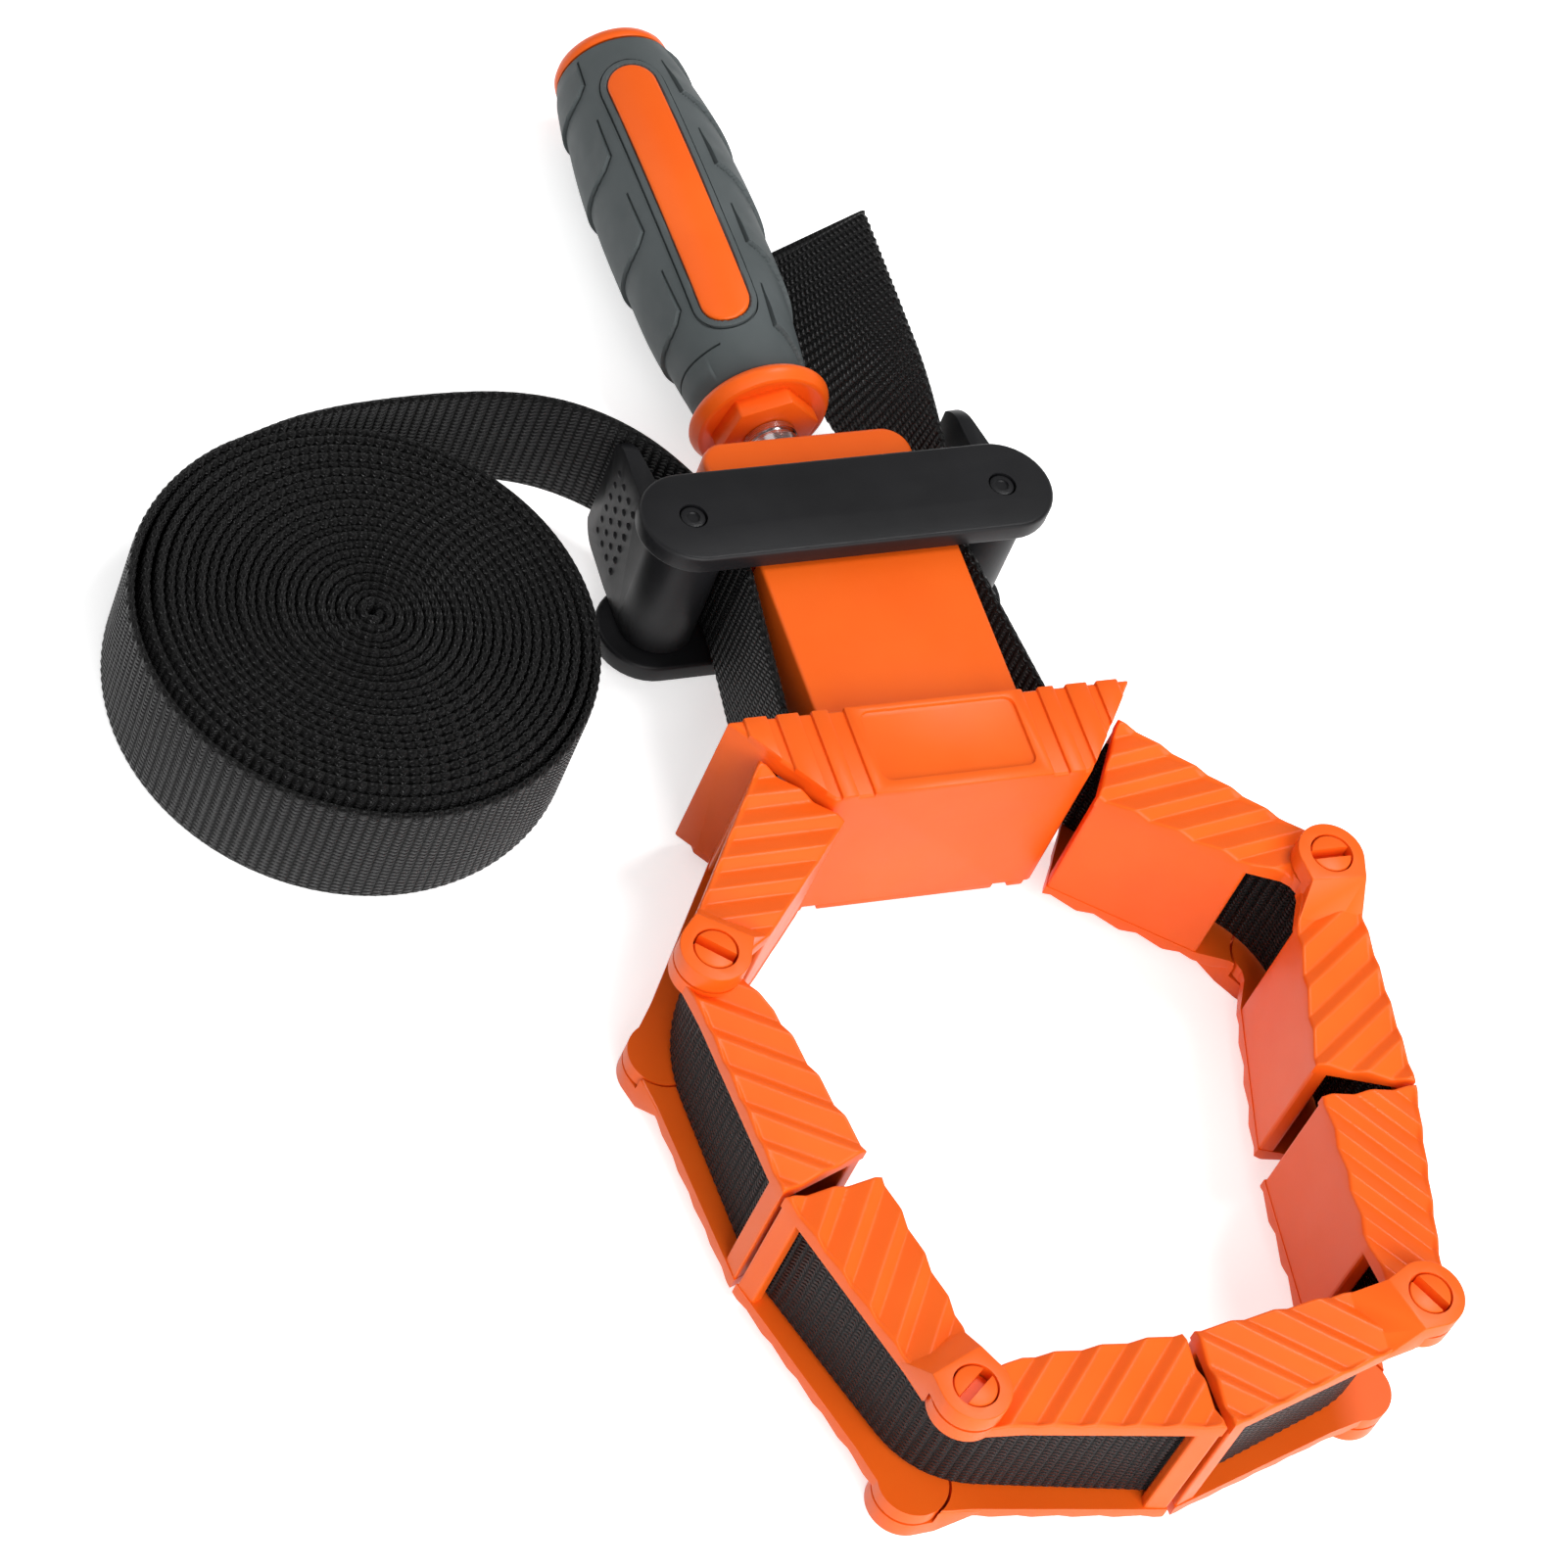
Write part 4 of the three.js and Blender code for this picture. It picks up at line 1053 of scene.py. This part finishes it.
def boss_ear():
    inner = JAW_HALF - FLANGE_THICK
    ear = post(EAR_RADIUS, 0, 0, inner, JAW_HALF - GAP)
    boss = round_edges(post(BOSS_RADIUS, 0, 0, inner + PAST, EAR_TOP), BOSS_ROUND, 2, 60)
    slot = block(-2 * BOSS_RADIUS, 2 * BOSS_RADIUS, -BOSS_SLOT_WIDTH / 2, BOSS_SLOT_WIDTH / 2,
                 EAR_TOP - BOSS_SLOT_DEPTH, EAR_TOP + PAST)
    slot.rotation_euler.z = BOSS_SLOT_ANGLE
    cut(boss, settle(slot))
    return fuse(ear, boss)


def hole_ear():
    """The raised ear with the hole for the other leaf's boss; it runs down a ramp into the lower flange."""
    inner = JAW_HALF - FLANGE_THICK + EAR_BACK
    neck_in, neck_out = between(WORK_EDGE, RAMP_END), between(OUTER_EDGE, RAMP_END)
    outline = [(RAMP_END, neck_out), (RAMP_END, neck_in), (RAMP_START, EAR_ROOT_IN)]
    outline += arc(0, 0, EAR_RADIUS, *EAR_ARC, 36)
    outline += [(RAMP_START, EAR_ROOT_OUT)]
    ear = slab(outline, -EAR_TOP, -inner)
    fall = EAR_TOP - JAW_HALF + RAMP_SINK
    slice_off(ear, (RAMP_START, 0, -EAR_TOP), (fall, 0, RAMP_START - RAMP_END))
    round_edges(ear, EAR_ROUND, 3, 30)
    clearance = post(EAR_RADIUS + EAR_PLAY, 0, 0, -JAW_HALF - GAP, 0)
    hole = post(BOSS_RADIUS + GAP, 0, 0, -EAR_TOP - PAST, 0)
    return cut(ear, clearance, hole)


def between_flanges(outline):
    """An outline between the two flanges, with its ends hidden in them."""
    reach = JAW_HALF - FLANGE_THICK + PAST
    return round_edges(slab(outline, -reach, reach), WALL_ROUND, 2, 60)


def leaf_wall():
    start_v, end_v = between(WORK_EDGE, WALL_START), between(WORK_EDGE, WALL_END)
    slope = (end_v - start_v) / (WALL_END - WALL_START)
    back = WALL_THICK * math.hypot(1, slope)
    return between_flanges([
        (leaf_end(end_v) - END_TUCK, end_v - SIDE_TUCK),
        (WALL_START, start_v - SIDE_TUCK),
        (WALL_START, start_v - back),
        (leaf_end(end_v - back) - END_TUCK, end_v - back),
    ])


def leaf_bridge():
    outer = between(OUTER_EDGE, LEAF_END)
    inner_end = leaf_end(outer) - BRIDGE_LENGTH
    return between_flanges([
        (leaf_end(outer) - END_TUCK, outer + SIDE_TUCK),
        (leaf_end(BRIDGE_INNER) - END_TUCK, BRIDGE_INNER),
        (inner_end, BRIDGE_INNER),
        (inner_end, outer + SIDE_TUCK),
    ])


def jaw_leaf():
    upper = fuse(ribbed_flange(1), boss_ear())
    clearance = post(EAR_RADIUS + EAR_PLAY, 0, 0, -JAW_HALF - PAST, -JAW_HALF + FLANGE_THICK + PAST)
    lower = fuse(cut(ribbed_flange(-1), clearance), hole_ear())
    return fuse(upper, leaf_wall(), leaf_bridge(), lower)


def leaf_place(pin, end, upright):
    u = Vector((end[0] - pin[0], end[1] - pin[1], 0)).normalized()
    z = Vector((0, 0, upright))
    v = z.cross(u)
    turn = Matrix((u, v, z)).transposed().to_4x4()
    return Matrix.Translation((*pin, 0)) @ turn


def add_jaws():
    leaf = jaw_leaf()
    for letter, (pin, ends) in JAWS.items():
        for number, end, upright in (("1", ends[0], 1), ("2", ends[1], -1)):
            name = "jaw_" + letter + number
            piece = moved_copy(leaf, leaf_place(pin, end, upright))
            hand_over(piece, "leaf_" + letter + number, ORANGE, "jaw_plastic", name, name)
    bpy.data.objects.remove(leaf)


# Head and stem

def head_outline():
    return [
        (-HEAD_FRONT_HALF, 0),
        (HEAD_FRONT_HALF, 0),
        (HEAD_REAR_HALF, HEAD_DEPTH),
        (-HEAD_REAR_HALF, HEAD_DEPTH),
    ]


def head_relief(up):
    """Ridges and the framed bare panel on one face of the head: up is 1 on top and -1 on the underside."""
    low, high = sorted((up * (HEAD_HALF - PAST), up * (HEAD_HALF + HEAD_RIDGE)))
    ridged = block(-FRAME_HALF, FRAME_HALF, -PAST, HEAD_DEPTH + PAST, low, high)
    others = []
    for inner, outer in RIDGES:
        for side in (-1, 1):
            x0, x1 = sorted((side * inner, side * outer))
            others.append(block(x0, x1, -PAST, HEAD_DEPTH + PAST, low, high))
    round_edges(gather(ridged, *others), RIDGE_ROUND)
    panel = rounded_rect(-PANEL_HALF, PANEL_HALF, PANEL_FRONT, PANEL_REAR, PANEL_CORNER)
    cut(ridged, slab(panel, *sorted((up * HEAD_HALF, up * (HEAD_HALF + 2 * PAST)))))
    combine(ridged, slab(head_outline(), -RIDGE_TOOL_HALF, RIDGE_TOOL_HALF), "INTERSECT")
    return round_edges(ridged, RIDGE_END_ROUND, 2, 60)


def band_channel(side):
    """The way of the band through one half of the head; behind the band the head is closed."""
    inner = HEAD_HALF - HEAD_FLANGE
    pin, ends = JAWS["a" if side > 0 else "d"]
    flex = ends[0 if side > 0 else 1]
    run = (Vector(pin) - Vector(flex)).normalized()
    room = side * BAND_ROOM * Vector((-run.y, run.x))
    outside = Vector(flex) + CHANNEL_OUT * run + room
    corner = Vector(flex) - HEAD_BAND_CORNER * run + room
    plan = [
        (side * STEM_HALF_WIDTH, HEAD_WALL),
        (side * FAR, HEAD_WALL),
        tuple(outside),
        tuple(corner),
        (side * BAND_MOUTH, corner.y + PAST),
        (side * BAND_MOUTH, FAR),
        (side * STEM_HALF_WIDTH, FAR),
    ]
    return round_edges(slab(plan, -inner, inner), CHANNEL_ROUND)


def nut_post():
    """The post inside the stem that the nut sits in, bored for the spindle."""
    nut_seat = NUT_RADIUS + GAP
    seat_start = POST_END - NUT_LENGTH - GAP
    bore = SPINDLE_RADIUS + POST_PLAY
    bottom = STEM_HOLLOW_START - POST_SINK
    profile = [(bore, bottom), (POST_RADIUS, bottom), (POST_RADIUS, POST_END), (nut_seat, POST_END),
               (nut_seat, seat_start), (bore, seat_start)]
    return lean(turned(profile))


def add_head():
    head = round_edges(slab(head_outline(), -HEAD_HALF, HEAD_HALF), HEAD_ROUND, 3)
    fuse(head, head_relief(1), head_relief(-1))
    cut(head, band_channel(1), band_channel(-1))
    fuse(head, round_edges(bar(STEM_HALF_WIDTH, STEM_START, STEM_END, STEM_HALF), HEAD_ROUND, 3))
    cut(head, bar(STEM_HOLLOW_WIDE, STEM_HOLLOW_START, STEM_END + PAST, STEM_HOLLOW_TALL))
    fuse(head, nut_post())
    hand_over(head, "head_moulding", ORANGE, "body_plastic", "head", "head")


# Slide block, crossbar and cam levers

def add_slide_block():
    rear = rounded_rect(-BLOCK_HALF_WIDTH, BLOCK_HALF_WIDTH, -FAR, BLOCK_END, BLOCK_CORNER, 8)
    shoulders = slice_off(slab(rear, -BLOCK_HALF, BLOCK_HALF), (0, BLOCK_START, 0), (0, -1, 0))
    round_edges(shoulders, BLOCK_ROUND, 3, 50)
    tongue = bar(TONGUE_HALF_WIDTH, TONGUE_START, BLOCK_START + TONGUE_ROOT, TONGUE_HALF)
    pads = bar(PAD_HALF_WIDTH, BLOCK_START + PAD_BACK, BLOCK_WALL_START, PLATE_INNER - GAP)
    fuse(shoulders, round_edges(tongue, TONGUE_ROUND), pads)
    room = shaft(POST_RADIUS + GAP, 0, BLOCK_WALL_START)
    cut(shoulders, room, shaft(SPINDLE_RADIUS + GAP, 0, BLOCK_END + PAST))
    hand_over(lean(shoulders), "slide_moulding", ORANGE, "body_plastic", "crossbar", "slide_block")


def pin_post(side, radius, low=-FAR, high=FAR):
    """A post on the axis of a cam pin."""
    return post(radius, side * CAM_PIN_X, CAM_PIN_Y, low, high)


def plate_outline(radius):
    quarter = math.pi / 2
    return [*arc(CAM_PIN_X, CAM_PIN_Y, radius, -quarter, quarter, 20),
            *arc(-CAM_PIN_X, CAM_PIN_Y, radius, quarter, 3 * quarter, 20)]


def add_plates():
    for name, up in (("top", 1), ("bottom", -1)):
        faces = sorted((up * PLATE_INNER, up * (PLATE_INNER + PLATE_THICK)))
        plate = round_edges(slab(plate_outline(PLATE_RADIUS), *faces), PLATE_ROUND, 3, 50)
        for side in (-1, 1):
            cut(plate, pin_post(side, CAM_PIN_RADIUS + GAP))
        node_name = "crossbar_" + name + "_plate"
        hand_over(lean(plate), "crossbar_plate_" + name, BLACK, "black_plastic", "crossbar", node_name)


def add_cam_pin(name, side):
    reach = PLATE_INNER + PLATE_THICK - PIN_SINK
    pin = round_edges(pin_post(side, CAM_PIN_RADIUS, -reach, reach), PIN_ROUND, 2, 60)
    for up in (-1, 1):
        low, high = sorted((up * (reach - DIMPLE_DEPTH), up * (reach + PAST)))
        cut(pin, round_edges(pin_post(side, DIMPLE_RADIUS, low, high), DIMPLE_ROUND, 1, 60))
    hand_over(lean(pin), "pin_" + name, BLACK, "steel", "crossbar", "cam_pin_" + name)


def lever_dots(side):
    """Rows of small raised dots on the arm's outer face."""
    dots = []
    for column in range(DOT_COLUMNS):
        for row in range(DOT_ROWS):
            back = DOT_PITCH[0] * column
            x = CAM_PIN_X + DOT_START[0] - DOT_TAPER * back
            y = CAM_PIN_Y + DOT_START[1] + back
            z = DOT_PITCH[1] * (row - (DOT_ROWS - 1) / 2)
            deselect()
            bpy.ops.mesh.primitive_uv_sphere_add(segments=10, ring_count=6, radius=DOT_RADIUS,
                                                 location=(side * x, y, z), scale=(DOT_RISE, 1, 1))
            dots.append(settle(bpy.context.object))
    return dots


def lever_arm(name, side):
    """The flat thumb arm, rounded at its tip, dotted and turned to where it rests."""
    plan = [(side * (CAM_PIN_X + x), CAM_PIN_Y + y) for x, y in ARM_OUTLINE]
    arm = slab(plan, -LEVER_HALF, LEVER_HALF)
    elevation = rounded_rect(-LEVER_HALF, LEVER_HALF, -FAR, LEVER_TIP_Y, LEVER_CORNER, 10)
    rounding = slab(elevation, -FAR, FAR)
    rounding.rotation_euler.y = math.pi / 2
    combine(arm, settle(rounding), "INTERSECT")
    round_edges(arm, LEVER_ROUND, 2, 40)
    fuse(arm, *lever_dots(side))
    pin = Matrix.Translation((side * CAM_PIN_X, CAM_PIN_Y, 0))
    arm.matrix_world = pin @ Matrix.Rotation(LEVER_REST[name], 4, "Z") @ pin.inverted()
    return settle(arm)


def add_cam_lever(name, side):
    barrel = post(CAM_RADIUS, side * (CAM_PIN_X - CAM_OFFSET), CAM_PIN_Y, -LEVER_HALF, LEVER_HALF, 64)
    lever = fuse(round_edges(barrel, CAM_ROUND, 2, 60), lever_arm(name, side))
    cut(lever, pin_post(side, CAM_PIN_RADIUS + GAP))
    hand_over(lean(lever), "lever_" + name, BLACK, "black_plastic", "cam_" + name, "cam_lever_" + name)


# Handle and spindle

def grip_radius(y):
    """Smooth swell of the grip through its measured radii."""
    table = GRIP_RADII
    x = y - GRIP_START
    for i in range(len(table) - 1):
        if x <= table[i + 1][0]:
            break
    slopes = []
    for j in (i, i + 1):
        a, b = table[max(j - 1, 0)], table[min(j + 1, len(table) - 1)]
        slopes.append((b[1] - a[1]) / (b[0] - a[0]))
    (x0, r0), (x1, r1) = table[i], table[i + 1]
    width = x1 - x0
    t = (x - x0) / width
    return ((2 * t ** 3 - 3 * t ** 2 + 1) * r0 + (t ** 3 - 2 * t ** 2 + t) * width * slopes[0]
            + (3 * t ** 2 - 2 * t ** 3) * r1 + (t ** 3 - t ** 2) * width * slopes[1])


def past_middle(y):
    """How far y lies past the straight middle part of the inlay."""
    return y - clamp(y, INLAY_START + INLAY_HALF_WIDTH, INLAY_END - INLAY_HALF_WIDTH)


def inlay_distance(turn, y):
    """Distance over the grip's surface from the inlay's edge, negative inside it."""
    return math.hypot(turn * grip_radius(y), past_middle(y)) - INLAY_HALF_WIDTH


def scale_edge(side, out, tip):
    """y of a scale's front edge, at degrees round from its tip."""
    return tip - between(SCALE_EDGE[side], out)


def scale_height(turn, y):
    """Overlapping scales on both sides of the inlay: each is highest along its front edge."""
    side = -1 if turn < 0 else 1
    out = abs(math.degrees(turn)) - SCALE_TURN
    place = (y - scale_edge(side, max(out, 0), SCALE_FIRST[side])) / SCALE_PITCH
    behind = place - math.floor(place)
    crisp = smooth_step(*SCALE_CRISP, out)
    soft = smooth_step(*SCALE_SOFT, out)
    blend = smooth_step(SCALE_BLEND_START, SCALE_SIDE / SCALE_PITCH, behind)
    plain = smooth_step(SCALE_STOP - SCALE_FADE, SCALE_STOP, abs(math.degrees(turn)))
    return SCALE_RISE * (0.5 * plain + (1 - plain) * (1 - behind) * (crisp + (soft - crisp) * blend))


def grip_point(s, t):
    turn = 2 * math.pi * s - math.pi
    face_rows, bore_rows = GRIP_END_ROWS
    share = clamp((t - face_rows) / (1 - 2 * face_rows), 0, 1)
    y = GRIP_START + (GRIP_END - GRIP_START) * share
    end = min(y - GRIP_START, GRIP_END - y)
    distance = inlay_distance(turn, y)
    border = 1 - smooth_step(INLAY_BORDER - BORDER_BLUR, INLAY_BORDER + BORDER_BLUR, distance)
    lift = scale_height(turn, y) * smooth_step(*SCALE_END_FADE, end) * (1 - border) + BORDER_RISE * border
    pocket = 1 - smooth_step(0, POCKET_BLUR, distance)
    radius = grip_radius(y) + lift - 0.5 * SCALE_RISE - POCKET_DEPTH * pocket - edge_drop(end, GRIP_EDGE)
    if min(t, 1 - t) < bore_rows:
        radius = CORE_RADIUS + GAP
    angle = turn + INLAY_ROLL
    return (radius * math.sin(angle), y, radius * math.cos(angle))


def close_bore(piece):
    """Joins the two open ends of a moulded sleeve by an inner wall."""
    pick(piece)
    bpy.ops.object.mode_set(mode="EDIT")
    bpy.ops.mesh.select_mode(type="EDGE")
    bpy.ops.mesh.select_all(action="DESELECT")
    bpy.ops.mesh.select_non_manifold()
    bpy.ops.mesh.bridge_edge_loops()
    return leave_edit(piece)


def groove_blade(line):
    """A thin blade that stands on the grip along a line of turns in degrees and y, for cutting a groove."""
    points = []
    for i, (turn, y) in enumerate(line):
        before, after = line[max(i - 1, 0)], line[min(i + 1, len(line) - 1)]
        radius = grip_radius(clamp(y, GRIP_START, GRIP_END))
        run = Vector((math.radians(after[0] - before[0]) * radius, after[1] - before[1])).normalized()
        for height, side in ((-GROOVE_DEPTH, -1), (-GROOVE_DEPTH, 1), (BLADE_TOP, 1), (BLADE_TOP, -1)):
            wide = side * GROOVE_WIDTH / 2
            angle = math.radians(turn) - run.y * wide / radius + INLAY_ROLL
            reach = radius + height
            points.append((reach * math.sin(angle), y + run.x * wide, reach * math.cos(angle)))
    return face_outwards(tube("blade", points, 4))


def inlay_ring(side):
    """One half of the line round the inlay's border, from its front to its rear."""
    radius = INLAY_HALF_WIDTH + INLAY_BORDER
    front, rear = INLAY_START + INLAY_HALF_WIDTH, INLAY_END - INLAY_HALF_WIDTH
    bend_steps, straight_steps = RING_STEPS
    path = arc(0, front, radius, -RING_REACH, 0, bend_steps)
    path += [(radius, front + (rear - front) * i / straight_steps) for i in range(1, straight_steps)]
    path += arc(0, rear, radius, 0, RING_REACH, bend_steps)
    return [(side * math.degrees(across / grip_radius(y)), y) for across, y in path]


def groove_lines():
    """Lines along the sides and front edges of the scales, round the inlay and round the grip's front."""
    lines = [[(turn, FRONT_GROOVE_Y) for turn in FRONT_GROOVE_TURNS], inlay_ring(-1), inlay_ring(1)]
    for side, first in SCALE_FIRST.items():
        for number in range(SCALE_COUNT):
            tip = first + SCALE_PITCH * number
            steps = range(GROOVE_SIDE_STEPS, -1, -1)
            line = [(side * SCALE_TURN, tip + SCALE_SIDE * i / GROOVE_SIDE_STEPS) for i in steps]
            for i in range(1, GROOVE_EDGE_STEPS + 1):
                out = GROOVE_EDGE_STEP * i
                line.append((side * (SCALE_TURN + out), scale_edge(side, out, tip)))
            lines.append([(turn, y) for turn, y in line if GRIP_START + PAST < y < GRIP_END - PAST])
    return lines


def add_grip():
    grip = close_bore(face_outwards(moulded_grid(*GRIP_GRID, grip_point)))
    cut(grip, *(groove_blade(line) for line in groove_lines()))
    hand_over(lean(grip), "soft_grip", RUBBER, "grip_rubber", "handle", "handle_grip", smooth=40)


def inlay_point(s, t):
    y = INLAY_START + (INLAY_END - INLAY_START) * spread(t)
    half = math.sqrt(max(INLAY_HALF_WIDTH ** 2 - past_middle(y) ** 2, 0.01))
    across = half * (2 * spread(s) - 1)
    turn = across / grip_radius(y)
    radius = grip_radius(y) + INLAY_RISE - edge_drop(-inlay_distance(turn, y), INLAY_EDGE)
    return (radius * math.sin(turn), y, radius * math.cos(turn))


def handle_inlay():
    inlay = thicken_down(moulded_grid(*INLAY_GRID, inlay_point), CORE_RADIUS - PAST)
    inlay.rotation_euler.y = INLAY_ROLL
    return settle(inlay)


def add_handle_core():
    bore = SPINDLE_RADIUS + GAP
    seat_y = FERRULE_START + FERRULE_SEAT[1]
    profile = [
        (bore, seat_y),
        (HEX_RADIUS - FERRULE_SEAT[0], seat_y),
        *((FERRULE_RADIUS - depth, FERRULE_START + y) for depth, y in FERRULE_PROFILE),
        (FERRULE_NECK, GRIP_START - GAP),
        (CORE_RADIUS, GRIP_START - GAP),
        (CORE_RADIUS, GRIP_END + GAP),
        *((radius, GRIP_END + y) for radius, y in RIM_PROFILE),
        (RIM_END_RADIUS, HANDLE_END),
        (0, HANDLE_END),
        (0, SOCKET_END),
        (bore, SOCKET_END),
    ]
    core = turned(profile)
    hexagon = round_edges(shaft(HEX_RADIUS, HEX_START, FERRULE_START + 2 * PAST, 6), HEX_ROUND)
    hexagon.rotation_euler.y = INLAY_ROLL + math.pi / 6
    settle(hexagon)
    cut(hexagon, shaft(bore, 0, HANDLE_END))
    gather(core, hexagon, handle_inlay())
    hand_over(lean(core), "handle_moulding", ORANGE, "body_plastic", "handle", "handle_core")


def add_spindle():
    collar_start, collar_end = BLOCK_END + GAP, HEX_START - GAP
    profile = [
        (0, SPINDLE_START),
        (SPINDLE_RADIUS - SPINDLE_TIP, SPINDLE_START),
        (SPINDLE_RADIUS, SPINDLE_START + SPINDLE_TIP),
        (SPINDLE_RADIUS, collar_start),
        (COLLAR_RADIUS - COLLAR_EDGE, collar_start),
        (COLLAR_RADIUS, collar_start + COLLAR_EDGE),
        *((COLLAR_RADIUS - depth, collar_end - y) for depth, y in COLLAR_GROOVE),
        (COLLAR_RADIUS, collar_end),
        (SPINDLE_RADIUS, collar_end),
        (SPINDLE_RADIUS, SOCKET_END - GAP),
        (0, SOCKET_END - GAP),
    ]
    hand_over(lean(turned(profile)), "screw_spindle", STEEL, "steel", "handle", "spindle")


def dress_hidden_steel():
    for name in ("spindle_nut", "thrust_ring"):
        solid = frame["nodes"][name]
        solid.data.materials.clear()
        solid.data.materials.append(STEEL)


add_camera()
add_long_end()
add_tail()
add_stem_bands()
add_jaw_bands()
add_jaws()
add_head()
add_slide_block()
add_plates()
for lever_name, lever_side in (("left", -1), ("right", 1)):
    add_cam_pin(lever_name, lever_side)
    add_cam_lever(lever_name, lever_side)
add_grip()
add_handle_core()
add_spindle()
dress_hidden_steel()
add_floor()
light_world()
for lamp in LAMPS:
    add_lamp(*lamp)
bpy.context.scene.view_settings.view_transform = "Standard"
